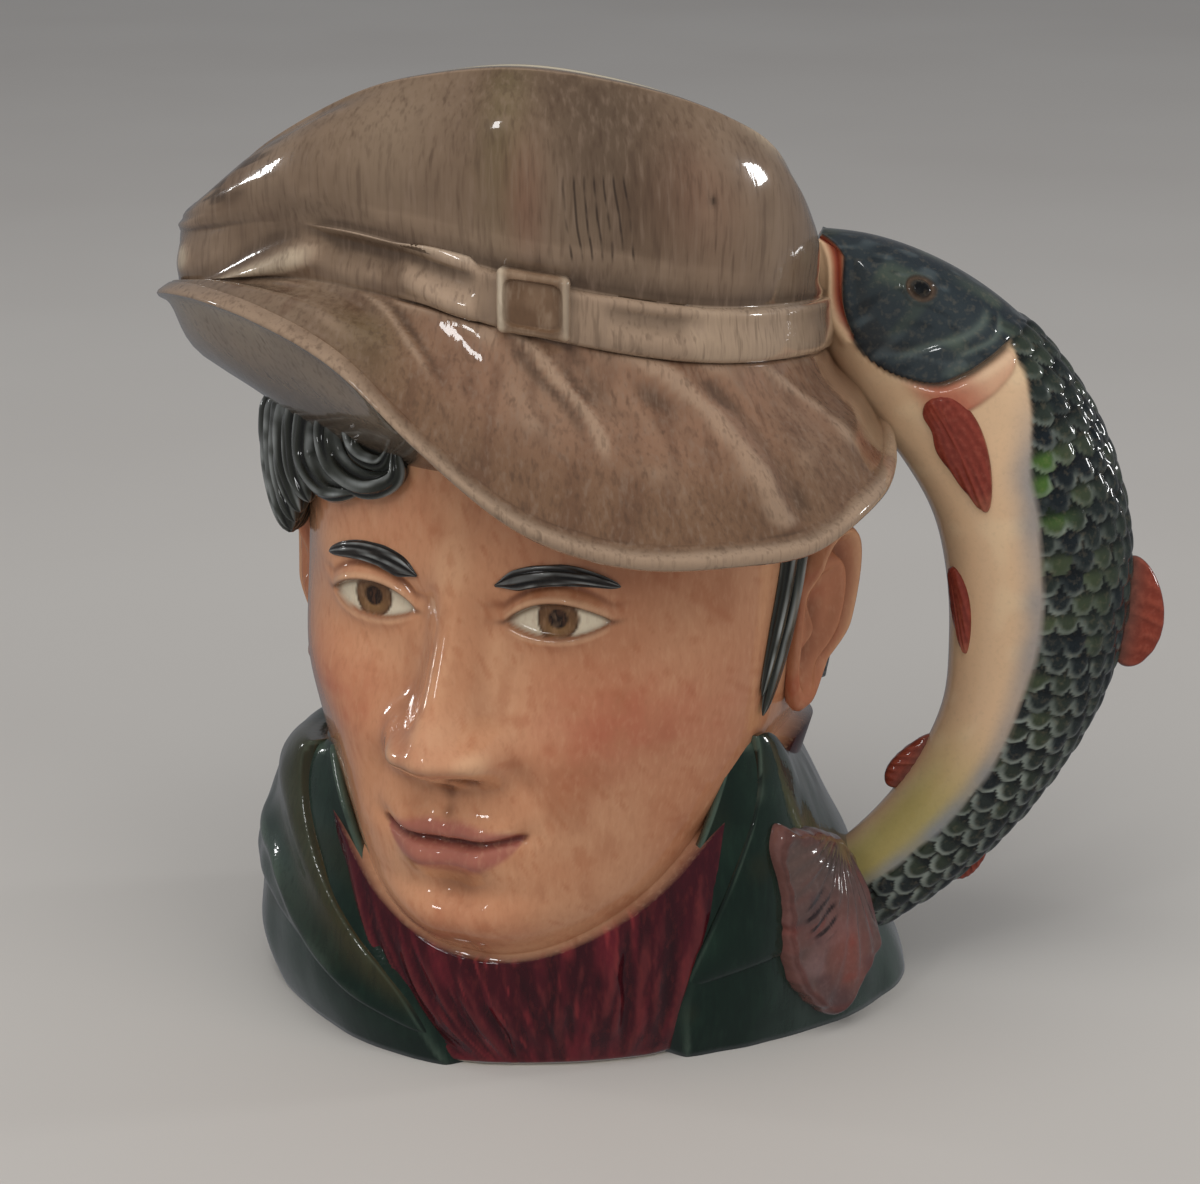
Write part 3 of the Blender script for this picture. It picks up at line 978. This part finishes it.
def make_buckle(material):
    """The square buckle: a block inset to a sunk panel in a frame, and then bent round the band."""
    middle, wide, tall, sunk = -90.4, 12.2, 10.8, 0.8
    bpy.ops.mesh.primitive_cube_add(size=1)
    buckle = bpy.context.object
    buckle.name = "buckle"
    buckle.scale = (wide, 4.6, tall)
    bpy.ops.object.transform_apply(scale=True)
    bpy.ops.object.mode_set(mode="EDIT")
    bpy.ops.mesh.select_all(action="SELECT")
    bpy.ops.mesh.bevel(offset=1.0, segments=4)
    bpy.ops.mesh.select_all(action="DESELECT")
    bpy.ops.object.mode_set(mode="OBJECT")
    front = min(buckle.data.polygons, key=lambda face: face.center.y)
    front.select = True
    bpy.ops.object.mode_set(mode="EDIT")
    bpy.ops.mesh.inset(thickness=0.3)
    bpy.ops.mesh.inset(thickness=0.4)
    bpy.ops.transform.translate(value=(0, sunk, 0))
    bpy.ops.mesh.inset(thickness=0.6)
    bpy.ops.mesh.select_all(action="SELECT")
    bpy.ops.mesh.subdivide(number_cuts=2)
    bpy.ops.object.mode_set(mode="OBJECT")
    rounding = buckle.modifiers.new("rounding", "SUBSURF")
    rounding.levels = rounding.render_levels = 2
    bpy.ops.object.modifier_apply(modifier="rounding")
    local = np.zeros(len(buckle.data.vertices) * 3)
    buckle.data.vertices.foreach_get("co", local)
    x, y, z = local.reshape(-1, 3).T
    side, level, out = np.abs(x) / wide * 2, np.abs(z) / tall * 2, -y + 1.1
    out = out + (0.6 * ridge(side, 0.82, 0.13) - 0.3 * level ** 2
                 + 0.12 * noise(x, z, 2.2, 46)) * smooth(-0.5, 1.5, out)
    centre = around(BAND_HEIGHT, middle) + BAND_WIDTH / 2 + 1.2
    points = polar(HEAD_CENTRE, middle + np.degrees(x / 54), around(BAND_REACH, middle) + out,
                   centre + z - 0.14 * x)
    buckle.data.vertices.foreach_set("co", points.ravel() * METRES)
    tint = np.broadcast_to(paint("6b523e"), points.shape)
    tint = wash(tint,
        ("8d745e", smooth(-0.1, 0.8, noise(x, z, 2.5, 47)) * 0.6),
        ("cfbfa8", ridge(side, 0.86, 0.12) * (0.7 + 0.25 * np.sign(-x))),
        ("a48c74", ridge(level, 0.9, 0.1) * 0.4),
        ("3a2c23", smooth(1.9, 0.9, out) * smooth(0.8, 0.95, np.maximum(side, level)) * 0.8))
    return finish_piece(buckle, tint, material)


def scale_field(s, c):
    """Height, pale rim, place along and own shade of the scales; s is along the fish and c round it."""
    along, wide, radius = 3.6, 4.7, 3.15
    height = np.full(np.broadcast(s, c).shape, -0.1)
    rim, local, shade = np.zeros_like(height), np.full_like(height, -0.6), np.zeros_like(height)
    for k in (1, 0, -1):
        row = np.floor(s / along) + k
        shift = np.where(row % 2 < 1, 0.0, wide / 2)
        column = np.round((c - shift) / wide)
        across = c - shift - column * wide + 0.25 * np.sin(row * 5.1 + column * 3.3)
        ahead = s - row * along + 0.25 * np.sin(row * 2.3 + column * 7.7)
        far = np.hypot(ahead, across * 1.27)
        covered = far < radius
        pillow = np.clip(1 - (far / radius) ** 2, 0, 1) ** 0.7
        lump = 0.05 + 0.42 * ahead / radius + 0.75 * pillow - 0.2 * (across / 2.4) ** 2
        height = np.where(covered, lump, height)
        rim = np.where(covered, smooth(radius - 1.3, radius - 0.45, far) * smooth(-0.6, 1.0, ahead), rim)
        local = np.where(covered, ahead / radius, local)
        own = np.sin(row * 12.9 + column * 78.2) * 437.5
        shade = np.where(covered, own - np.floor(own), shade)
    return height, rim, local, shade


# Lines on the fish: the gill's edge and its flap's edge by degrees from the back, where the scales end
# and where the dark skull ends by place along the fish
GILL_LINE = ((0, 0.226), (40, 0.2255), (70, 0.2265), (92, 0.2235), (105, 0.215), (115, 0.192),
             (125, 0.155), (131, 0.12), (180, 0.08))
GILL_FLAP = ((0, 0.22), (41, 0.22), (52, 0.246), (72, 0.261), (90, 0.266), (111, 0.268), (180, 0.27))
SCALES_EDGE = ((0.2, 48), (0.262, 53), (0.29, 60), (0.315, 68), (0.355, 78.5), (0.414, 81.5), (0.57, 82.5),
               (0.63, 83.5), (0.7, 82.5), (0.77, 83.5), (0.845, 86), (1, 88))
JAW_LINE = ((0, 64), (0.026, 84), (0.049, 109), (0.097, 128), (0.155, 128), (0.23, 124))


def make_fish(material):
    """The body of the fish, with its head, mouth, gill, scales and smooth belly."""
    turn = np.arange(176) / 176 * 360.0
    along = np.concatenate((np.linspace(0, 0.27, 150)[:-1], np.linspace(0.27, 0.97, 330)))
    a = along[:, None] + 0 * turn[None, :]
    side = np.where(turn > 180, 360 - turn, turn)[None, :] + 0 * a
    s = a * FISH_LENGTH
    girth = np.radians(np.where(turn > 180, turn - 360, turn))[None, :] * through(FISH_BACK, a)
    wander = noise(s, girth, 5, 71)
    gill = through(GILL_LINE, side)
    outer = through(GILL_FLAP, side)
    edge = through(SCALES_EDGE, a)
    jaw = through(JAW_LINE, a)
    below = side - edge
    scaled = smooth(2, -3, below) * smooth(0.0, 0.012, a - outer)
    height, rim, local, shade = scale_field(s, girth)
    out = scaled * height
    plate = smooth(34, 52, side) * smooth(134, 118, side)
    out = out + 0.8 * smooth(-0.05, -0.006, a - gill) * smooth(0.0, -0.004, a - gill) * plate
    out = out - 0.8 * ridge(a, gill + 0.003, 0.005) * plate
    crescent = smooth(0.0, 0.006, a - gill) * smooth(0.0, -0.008, a - outer)
    crescent = crescent * smooth(47, 54, side) * smooth(124, 106, side)
    out = out + 0.55 * crescent
    cheek = through(((0, 0.15), (30, 0.185), (57, 0.193), (80, 0.185), (105, 0.165), (180, 0.12)), side)
    brow_arc = through(((0, 0.17), (29, 0.2), (55, 0.212), (75, 0.206), (180, 0.15)), side)
    arcs = ridge(a, cheek, 0.005) * smooth(30, 45, side) * smooth(120, 100, side)
    arcs = arcs + ridge(a, brow_arc, 0.0035) * smooth(25, 40, side) * smooth(90, 75, side)
    out = out - 0.4 * arcs
    slit = through(((0, 72), (0.02, 88), (0.05, 115), (0.1, 128), (0.13, 130)), a)
    gape = through(((0, 11), (0.03, 8), (0.06, 4.5), (0.1, 1.2), (0.13, 1.1)), a)
    mouth = smooth(0.108, 0.096, a)
    inner = np.exp(-(np.abs(side - slit) / gape) ** 3) * mouth
    out = out - 1.3 * inner + 0.6 * np.exp(-((side - slit + gape + 5) / 6) ** 2) * mouth
    out = out + 0.6 * np.exp(-((side - slit - gape - 5) / 6) ** 2) * mouth
    far = np.hypot((a - 0.121) * FISH_LENGTH, (side - 63) * math.radians(1) * 10.5)
    out = out + 0.7 * smooth(2.3, 1.0, far) + 0.4 * ridge(far, 2.9, 0.6) - 0.35 * ridge(far, 2.2, 0.35)
    grid = fish_point(a, turn[None, :] + 0 * a, out)
    colour = np.broadcast_to(paint("d8b692"), grid.shape)
    colour = wash(colour,
        ("e2c7a2", smooth(0.1, 0.9, wander) * 0.5),
        ("d3a682", smooth(150, 178, side) * 0.5),
        ("9c9350", smooth(0.66, 0.84, a) * smooth(178, 130, side) * 0.8))
    fade = smooth(23, 2, below) * smooth(0.25, 0.36, a)
    colour = wash(colour, ("83868a", fade * (0.75 + 0.2 * wander)))
    dark = smooth(3.5, -1, below + 1.5 * wander) * smooth(-0.002, 0.006, a - outer)
    base = wash(np.broadcast_to(paint("141c21"), grid.shape), ("363f33", shade * 0.8))
    green = smooth(0.25, 0.6, shade + 0.2 * wander) * smooth(56, 70, side)
    green = green * smooth(0.325, 0.35, a) * smooth(0.45, 0.4, a)
    base = wash(base, ("47672a", green * 0.95))
    olive = smooth(0.3, 0.8, shade) * smooth(30, 66, side) * smooth(0.3, 0.36, a)
    base = wash(base,
        ("4c5737", (1 - green) * olive * 0.6),
        ("1b2022", smooth(0.5, 0.75, a) * 0.6))
    pale = (0.15 + 0.45 * smooth(25, 75, side)) * (0.5 + 0.6 * noise(s, girth, 2.4, 73))
    pale = pale + 0.3 * smooth(0.5, 0.75, a)
    base = wash(base,
        ("98a198", rim * pale),
        ("070b0e", smooth(0.25, -0.45, local) * 0.9))
    colour = colour * (1 - dark[..., None]) + base * dark[..., None]
    colour = wash(colour,
        ("cfa283", crescent * 0.95),
        ("e0c3a2", crescent * ridge(a, gill + 0.01, 0.007) * 0.6),
        ("a8503a", crescent * (0.8 * smooth(74, 104, side) + 0.3 * ridge(a, outer, 0.006))))
    skull = smooth(0.001, -0.003, a - gill) * smooth(2.0, -2.5, side - jaw)
    colour = wash(colour,
        ("2f373b", skull),
        ("1d262d", skull * smooth(60, 25, side) * 0.7),
        ("1c252b", skull * smooth(-14, -2, side - jaw) * 0.7),
        ("4f5a4c", skull * smooth(0.0, 0.7, noise(s, girth, 4.2, 74)) * 0.6),
        ("5c676a", skull * smooth(0.35, 0.8, noise(s * 0.6, girth * 1.6, 2.2, 75)) * 0.4),
        ("0f151a", skull * smooth(0.3, 0.8, noise(s * 0.7, girth * 1.5, 2.4, 76)) * 0.55),
        ("66726a", skull * np.clip(arcs, 0, 1) * 0.55),
        ("12181d", ridge(a, gill + 0.001, 0.004) * plate * 0.75),
        ("b34a30", inner * 0.95),
        ("6a2018", np.exp(-(np.abs(side - slit) / (gape * 0.45)) ** 2) * mouth * 0.6),
        ("2b2320", smooth(3.0, 2.4, far) * 0.8),
        ("5e4a3a", ridge(far, 2.2, 0.4) * 0.7),
        ("07090b", smooth(1.5, 1.1, far)))
    return ring_piece("fish", grid, colour, material)


def blade_piece(name, place, tint, material, levels):
    """A thin leaf over the unit disc; place(x, y, out) gives its points and tint(x, y) its colours."""
    angle = np.arange(72) / 72 * 2 * math.pi
    rings, tints = [], []
    for r, h in levels:
        x, y = np.cos(angle) * r, np.sin(angle) * r
        rings.append(place(x, y, h))
        tints.append(tint(x, y))
    return ring_piece(name, rings, tints, material)


# Radius and height of a fin's rounded top
TOP_LEVELS = ((0.05, 1.0), (0.2, 1.0), (0.35, 0.98), (0.5, 0.94), (0.62, 0.9), (0.74, 0.84), (0.84, 0.74),
              (0.92, 0.6), (0.97, 0.42), (1.0, 0.15))


def fin_tint(x, y):
    """Brick red, darker along the rays and at the rim."""
    rays = np.cos(np.arctan2(y, x + 1.6) * 34)
    colour = np.broadcast_to(paint("7c3428"), (len(x), 3))
    return wash(colour,
        ("984638", smooth(0.0, 1.0, rays) * 0.35),
        ("5c2119", smooth(0.1, -1.0, rays) * 0.3),
        ("b8775c", np.full(len(x), 0.35) * smooth(0.6, 0.9, x)))


def flank_leaf(name, along, turn, length, width, lean, height, material):
    """A fin that lies on the fish's side, pointed at one end."""
    def place(x, y, out):
        narrow = 1 - 0.38 * x - 0.3 * np.exp(-((x + 0.55) / 0.22) ** 2) * (y > 0)
        step = length * (x + 1)
        rays = 0.07 * np.cos(np.arctan2(y, x + 1.6) * 34) * (out > 0.3)
        return fish_point(along + step * math.cos(lean) / FISH_LENGTH,
                          turn + np.degrees((step * math.sin(lean) + y * width * narrow) / 13.0),
                          (out + rays) * height)
    levels = TOP_LEVELS + ((0.98, -0.5), (0.6, -1.0))
    return blade_piece(name, place, fin_tint, material, levels)


def edge_fin(name, along, turn, length, rise, sweep, material):
    """A fin that stands up from the fish's back or belly in its middle plane."""
    def place(x, y, out):
        up = (y + 1) * 0.5
        s = along + (x * (0.5 - 0.16 * up) + sweep * up * 0.5) * length / FISH_LENGTH
        rays = 0.1 * np.cos(x * 20 + 2 * up) * np.sign(out)
        middle = fish_point(s, turn, -2.5 + up * (rise + 2.5))
        return middle + np.stack((0 * x, (out + rays) * 1.5, 0 * x), -1)

    def tint(x, y):
        rays = np.cos(x * 20 + y + 1)
        colour = np.broadcast_to(paint("7d3627"), (len(x), 3))
        return wash(colour,
            ("9f4f3c", smooth(0, 1, rays) * 0.5),
            ("5b5a50", smooth(0.4, -0.8, y) * 0.6))
    levels = TOP_LEVELS + tuple((r, -h) for r, h in reversed(TOP_LEVELS))
    return blade_piece(name, place, tint, material, levels)


def make_tail(material):
    """The tail fan, which lies on the coat in front of the handle."""
    angle = np.arange(220) / 220 * 360.0
    ragged = 0.006 * np.cos(np.radians(angle) * 23) + 0.02 * noise(angle, 0 * angle, 6, 81)
    outline = through(TAIL_OUTLINE, angle) * (1 + ragged)
    rings, tints = [], []
    profile = [(r, 5.3 + 0.25 * float(ridge(r, 0.92, 0.05))) for r in np.linspace(0.02, 0.94, 42)]
    for r, h in profile + [(0.965, 5.1), (0.985, 4.6), (1.0, 3.6), (1.0, 1.8), (0.98, 0.0), (0.8, -2.5)]:
        x = outline * r * np.cos(np.radians(angle))
        y = outline * r * np.sin(np.radians(angle))
        ray = np.degrees(np.arctan2(y - 18, x - 14))
        fan = smooth(0.15, 0.4, r) * smooth(5, 12, np.hypot(y - 18, x - 14))
        groove = (0.22 * np.cos(ray * 0.62) * fan + 0.4 * noise(x, y, 5.0, 80)) * (h > 3)
        azimuth = TAIL_HEART[0] + np.degrees(x / 55)
        height = TAIL_HEART[1] + y
        rings.append(coat_point(azimuth, height / around(COLLAR_TOP, azimuth), h + groove))
        colour = np.broadcast_to(paint("5c4743"), (len(angle), 3))
        colour = wash(colour,
            ("7b6261", smooth(0.1, 0.9, noise(x, y, 5, 82)) * smooth(8, -8, y) * 0.7),
            ("43363a", smooth(0.1, 0.9, noise(x, y, 4, 83)) * 0.6),
            ("86463a", mound(x, y, 3.0, -4.0, 6.0, 8.0) * 0.55),
            ("5b4a43", smooth(6, 16, y) * 0.6),
            ("3e3432", mound(x, y, 6.0, 12.0, 6.0, 5.0) * 0.6),
            ("5f2d26", smooth(0.84, 0.95, r + 0.04 * noise(x, y, 3, 84)) * 0.5),
            ("a87a72", smooth(0.96, 0.99, r) * smooth(2, -6, x) * 0.25),
            ("80382e", smooth(0.2, 0.9, noise(ray * 0.5, y, 3, 85)) * 0.35))
        slanted = y * 0.94 - x * 0.34
        dashes = smooth(0.1, 0.7, np.cos(slanted * 3.0))
        dashes = dashes * smooth(0.2, 0.5, mound(x, y, -2.2, 4.6, 4.2, 4.6))
        tints.append(wash(colour, ("1f1719", dashes * 0.9)))
    return ring_piece("tail", rings, tints, material)


def make_ear(side, turned, stand, material):
    """An ear with its rim, inner ridge, bowl and lobe, as tall as from brow to nose base."""
    middle = FACING + side * turned
    base = CHIN_HEIGHT + NOSE_BASE + EAR_HEIGHT / 2 + 1
    angle = np.arange(120) / 120 * 2 * math.pi
    rings, tints = [], []
    outside = np.linspace(0.03, 1.0, 34)
    for place, r in enumerate(np.concatenate((outside, (1.0, 0.93, 0.5)))):
        x, y = np.cos(angle) * r, np.sin(angle) * r
        lobe = 1 - 0.22 * (1 - y)
        height = base + y * EAR_HEIGHT * 0.48
        azimuth = middle + side * (x * 9.5 * lobe + y * 4.5 + 1.0)
        back = smooth(-1.1, 1.0, x) * (0.72 + 0.28 * y)
        rest = 0.55 * (2.2 + stand * back)
        upper = smooth(-0.75, -0.1, y) * smooth(-0.9, -0.35, x + 0.5 * y)
        rim = 3.4 * ridge(r, 0.9, 0.1) * np.maximum(upper, 0.35)
        inner = 2.2 * ridge(np.hypot(x - 0.02, y - 0.05), 0.52, 0.1)
        inner = inner * smooth(-0.6, 0.2, x) * smooth(-0.7, 0.1, y + x * 0.3)
        bowl = -4.0 * mound(x, y, -0.12, -0.12, 0.3, 0.38)
        flap = 2.4 * mound(x, y, -0.62, -0.08, 0.14, 0.2)
        lobe_swell = 1.6 * mound(x, y, 0.0, -0.75, 0.42, 0.22)
        valley = -0.9 * ridge(r, 0.72, 0.08) * upper
        out = rest + rim + inner + bowl + flap + lobe_swell + valley
        # The last three rings turn the edge down and sink it into the head
        out = (out, rest * 0.9, 0.2, -2.4)[max(place - len(outside) + 1, 0)]
        rings.append(head_point(azimuth, height, out))
        colour = np.broadcast_to(paint("b5795a"), (len(angle), 3))
        dark = 0.9 * mound(x, y, -0.12, -0.12, 0.3, 0.36) + 0.6 * ridge(r, 0.73, 0.07) * upper
        tints.append(wash(colour,
            ("5c3020", dark),
            ("a9583d", 0.5 * smooth(0.2, 0.9, noise(x * 10, y * 14, 3.5, 87))
             + 0.3 * smooth(-0.5, -0.9, y)),
            ("ddb38c", 0.5 * ridge(r, 0.88, 0.04) * upper)))
    return ring_piece("ear_right" if side > 0 else "ear_left", rings, tints, material)


def strand_piece(name, spine, out, width, thickness, strands, seed, material, tone="33352f", root=-0.25):
    """A lock of hair along a line of points, combed into strands and pointed at its tip."""
    count = len(spine)
    s = np.linspace(0, 1, count)
    along = np.gradient(spine, axis=0)
    along /= np.linalg.norm(along, axis=1)[:, None]
    across = np.cross(along, out)
    across /= np.linalg.norm(across, axis=1)[:, None]
    taper = np.sqrt(np.clip(1 - s ** 2.6, 0.004, 1)) * smooth(root, 0.2, s)
    angle = np.arange(64) / 64 * 2 * math.pi
    rings, tints = [], []
    for i in range(count):
        shift = 1.6 * math.sin(3 * s[i] + seed)
        wave = 0.5 + 0.32 * np.cos(angle * strands + shift)
        wave = wave + 0.18 * np.cos(angle * (strands + 4) - 1.7 * shift + seed)
        comb = 1 - 0.27 * (1 - wave) ** 1.5
        side = width * taper[i] * np.cos(angle) * comb
        high = thickness * taper[i] * np.sin(angle) * comb
        rings.append(spine[i] + side[:, None] * across[i] + high[:, None] * out[i])
        colour = np.broadcast_to(paint(tone), (len(angle), 3))
        streak = 0.5 + 0.5 * noise(angle * 3 + seed * 5, 22 * s[i] + 0 * angle, 1.6, 90)
        tints.append(wash(colour,
            ("b4b9b8", smooth(0.4, 1.0, wave) * (0.45 + 0.3 * np.sin(angle)) * streak),
            ("0b0b0a", smooth(0.5, 0.1, wave) * 0.85)))
    return ring_piece(name, rings, tints, material)


def curve_points(path, count):
    """Points of a smooth path given by a few stations of equal spacing."""
    place = np.linspace(0, 1, len(path))
    s = np.linspace(0, 1, count)
    return [through(list(zip(place, [p[k] for p in path])), s) for k in range(len(path[0]))]


def make_lock(index, path, width, thickness, material):
    """One lock swept over the head."""
    azimuth, height = curve_points(path, 46)
    spine = head_point(azimuth, height, 0.5 * thickness)
    out = head_point(azimuth, height, 0.5 * thickness + 1) - spine
    return strand_piece("lock_%02d" % index, spine, out, width, thickness, 4, index, material)


# Locks of hair: (azimuth, height) from root to tip, then width and thickness in the middle
LOCKS = (
    (((174, 117), (175, 109), (177, 101), (180, 90)), 4.6, 5.6),
    (((180, 117), (182, 108), (183, 99), (185, 89)), 4.4, 6.2),
    (((187, 118), (188, 109), (188, 100), (191, 90)), 4.4, 6.4),
    (((194, 119), (192, 110), (193, 101), (197, 92)), 4.2, 5.6),
    (((200, 120), (197, 112), (198, 103), (203, 95)), 4.0, 5.0),
    (((206, 121), (202, 113), (203, 105), (208, 98)), 3.8, 4.8),
    (((211, 122), (207, 115), (208, 107), (213, 101)), 3.6, 4.4),
    (((216, 122), (212, 116), (213, 109), (221, 105), (230, 106)), 3.3, 4.0),
    (((222, 122), (219, 116), (223, 110), (232, 107.5), (239, 110), (238, 115)), 3.0, 3.6),
    (((228, 122), (226, 117), (229, 113), (235, 112), (237, 115)), 2.4, 3.0),
    (((-15, 114), (-17, 104), (-20, 94), (-25, 84)), 3.2, 1.8),
    (((-22, 114), (-22, 102), (-25, 88), (-31, 75), (-36, 63)), 3.4, 1.9),
    (((-28, 113), (-26, 102), (-28, 90), (-33, 78), (-37, 67)), 2.6, 1.6),
)


def make_brow(side, material):
    """An eyebrow of strands along the brow line."""
    s = np.linspace(0, 1, 40)
    u = side * (EYE_SIDE * 0.42 + s * EYE * 1.12)
    v = BROW_LINE - 2.2 + 3.4 * np.sin(s * 2.2) - 2.4 * s ** 2
    spine = face_point(u, v, 0.35)
    out = np.broadcast_to(np.append(FORWARD, 0.15), spine.shape)
    name = "brow_right" if side > 0 else "brow_left"
    return strand_piece(name, spine, out, 2.2, 0.9, 7, side, material, "2c2622", -0.05)


def make_hair_sheet(name, first, last, low, material):
    """Hair combed down from under the hat in broad waves of strands, to a lower edge given by azimuth."""
    down = np.linspace(0, 1, 60)[:, None]
    across = np.linspace(0, 1, int(1.85 * (last - first)))[None, :]
    azimuth = first + (last - first) * across + 0 * down
    tips = through(low, azimuth) + 0.8 * noise(azimuth, 0 * azimuth, 6, 91)
    height = 115 + (tips - 115) * down
    lean = azimuth * 0.297 + 3.4 * down + 0.8 * np.sin(azimuth * 0.139)
    fine = azimuth * 2.333 + 9 * down
    wave = 2.6 + 1.2 * np.cos(lean) + 0.4 * np.cos(lean * 3.1 + 4 * down) + 0.28 * np.cos(fine)
    edge = np.sqrt(np.clip(np.minimum(across, 1 - across) * (last - first) / 8, 0, 1))
    outer = head_point(azimuth, height, wave * edge - 0.6)
    inner = head_point(azimuth, height, -2.4 + 1.6 * smooth(58, 49, height))
    colour = np.broadcast_to(paint("2a2b29"), outer.shape)
    colour = wash(colour,
        ("8f9492", smooth(0.3, 1.0, np.cos(fine)) * (0.3 + 0.3 * noise(azimuth, 9 * down, 2.5, 92))),
        ("0e0e0e", smooth(-0.1, -1.0, np.cos(lean)) * 0.6))
    return sheet_piece(name, outer, inner, colour, material)


def aim(thing, target):
    """Turn a light or camera to a target."""
    thing.rotation_euler = (Vector(target) - thing.location).to_track_quat("-Z", "Y").to_euler()


def add_light(name, place, size, power, colour=(1, 1, 1), mirrored=True):
    """A rectangular soft light turned to the jug, which the glaze mirrors or not."""
    bpy.ops.object.light_add(type="AREA", location=place)
    lamp = bpy.context.object
    lamp.name = name
    lamp.data.shape = "RECTANGLE"
    lamp.data.size, lamp.data.size_y = size
    lamp.data.energy = power
    lamp.data.color = colour
    lamp.visible_glossy = mirrored
    aim(lamp, (0.006, -0.018, 0.08))


def make_stage():
    """Floor, lights, sky and camera."""
    bpy.ops.mesh.primitive_plane_add(size=9, location=(0, 1.5, 0))
    floor = bpy.context.object
    floor.name = "floor"
    bpy.ops.object.transform_apply(location=True)
    floor.data.materials.append(floor_paper())
    floor.visible_glossy = False
    add_light("overhead", (-0.25, -0.75, 1.2), (1.3, 1.3), 11, (1, 0.98, 0.95), False)
    add_light("fill", (0.9, -0.9, 0.6), (1.0, 1.0), 4.4, (1, 0.98, 0.95), False)
    add_light("window_left", (-1.25, 0.25, 0.34), (0.08, 0.14), 1.0)
    add_light("window_right", (1.25, 0.35, 0.36), (0.14, 0.22), 2.6)
    add_light("window_front", (-0.5, -1.1, 0.75), (0.12, 0.17), 1.0)
    world = bpy.data.worlds.new("studio")
    bpy.context.scene.world = world
    world.use_nodes = True
    sky = world.node_tree.nodes["Background"]
    sky.inputs["Color"].default_value = (0.95, 0.96, 1.0, 1)
    # The glaze mirrors a dimmer sky than the one that lights the jug, so that its colours stay deep
    path = world.node_tree.nodes.new("ShaderNodeLightPath")
    dim = world.node_tree.nodes.new("ShaderNodeMapRange")
    dim.inputs["To Min"].default_value, dim.inputs["To Max"].default_value = 0.32, 0.17
    world.node_tree.links.new(path.outputs["Is Glossy Ray"], dim.inputs["Value"])
    world.node_tree.links.new(dim.outputs["Result"], sky.inputs["Strength"])
    bpy.ops.object.camera_add(location=(0.0560, -0.5896, 0.2564))
    camera = bpy.context.object
    camera.data.lens = 98.7
    camera.data.sensor_width = 36
    camera.data.clip_start = 0.01
    aim(camera, (0.006, -0.018, 0.081))
    scene = bpy.context.scene
    scene.camera = camera
    scene.view_settings.view_transform = "Standard"
    scene.view_settings.look = "None"


def main():
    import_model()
    bpy.ops.object.select_all(action="DESELECT")
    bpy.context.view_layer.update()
    make_stage()
    # Warm flesh colours, laid on thin with short strokes: they look soft and a little uneven
    skin = glazed("flesh_earthenware", "d9ae8a", "9a6648", 2.8, 0.06, 0.15, 0.06)
    # Maroon, wiped on in longer strokes, so that it looks like brushed wool under glass
    wool = glazed("maroon_scarf_earthenware", "84342f", "22090f", 3.1, 0.12, 0.16)
    # Mauve brown of the tail, dabbed on: it looks blotched
    fan = glazed("mauve_tail_earthenware", "917570", "3c2d2f", 1.1, 0.15, 0.12, 0.05)
    felt = hat_glaze()
    # Bare cream body inside the jug, where only the clear glaze shows
    cream = glazed("cream_earthenware", "e6dbc2", "c9bb9c", 1.1, 0.1, 0.08, 0.06)
    # Light brown wiped off the raised sides, which look worn
    worn = glazed("buckle_earthenware", "b5a089", "5a4636", 3.7, 0.2, 0.2, 0.1)
    # Bottle green glaze over thick paint: its skin is dimpled like orange peel and spreads the reflections
    cloth = glazed("bottle_green_earthenware", "22392c", "0a1510", 5.5, 0.3, 0.2, peel=0.7)
    # Near black hair, drawn in fine strokes that leave grey between them
    strands = glazed("black_hair_earthenware", "4d4d4d", "0e0e0f", 3.7, 0.15, 0.1)
    # The fish is sprayed and then touched in, so that it has almost no brush marks
    flesh = glazed("fish_earthenware", "cbb694", "4b4f50", 1.1, 0.06, 0.06)
    # Brick red fins, dabbed on
    red = glazed("red_fin_earthenware", "ab6250", "521f17", 1.1, 0.2, 0.2, 0.05)
    pieces = [make_head(skin, wool), make_hat(felt, cream), make_coat(cloth), make_lapels(cloth),
              make_buckle(worn)]
    pieces += [make_fish(flesh), make_tail(fan)]
    pieces += [edge_fin("dorsal", 0.528, 0, 19.5, 7.4, 0.35, red),
               edge_fin("anal", 0.775, 180, 17, 3.6, 0.7, red),
               edge_fin("adipose", 0.835, 0, 10, 2.0, 0.6, red)]
    for side, word in ((1, "near"), (-1, "far")):
        pieces.append(flank_leaf("pectoral_" + word, 0.226, 111 * side, 13.0, 3.2, 0.02 * side, 1.6, red))
        pieces.append(flank_leaf("pelvic_" + word, 0.475, 154 * side, 9.8, 2.4, -0.15 * side, 1.4, red))
    pieces += [make_ear(1, 90.0, 9.0, skin), make_ear(-1, 78.0, 11.0, skin)]
    pieces += [make_lock(i, *lock, strands) for i, lock in enumerate(LOCKS)]
    pieces += [make_brow(1, strands), make_brow(-1, strands),
               make_hair_sheet("back_hair", -6, 174,
                               ((-6, 72), (6, 62), (20, 53), (45, 50), (84, 49.5), (130, 49.5), (174, 50)),
                               strands)]
    pieces.append(make_hair_sheet("temple_hair", 170, 207, ((170, 92), (182, 93), (193, 98), (207, 108)),
                                  strands))
    for piece in pieces:
        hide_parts("jug")


main()
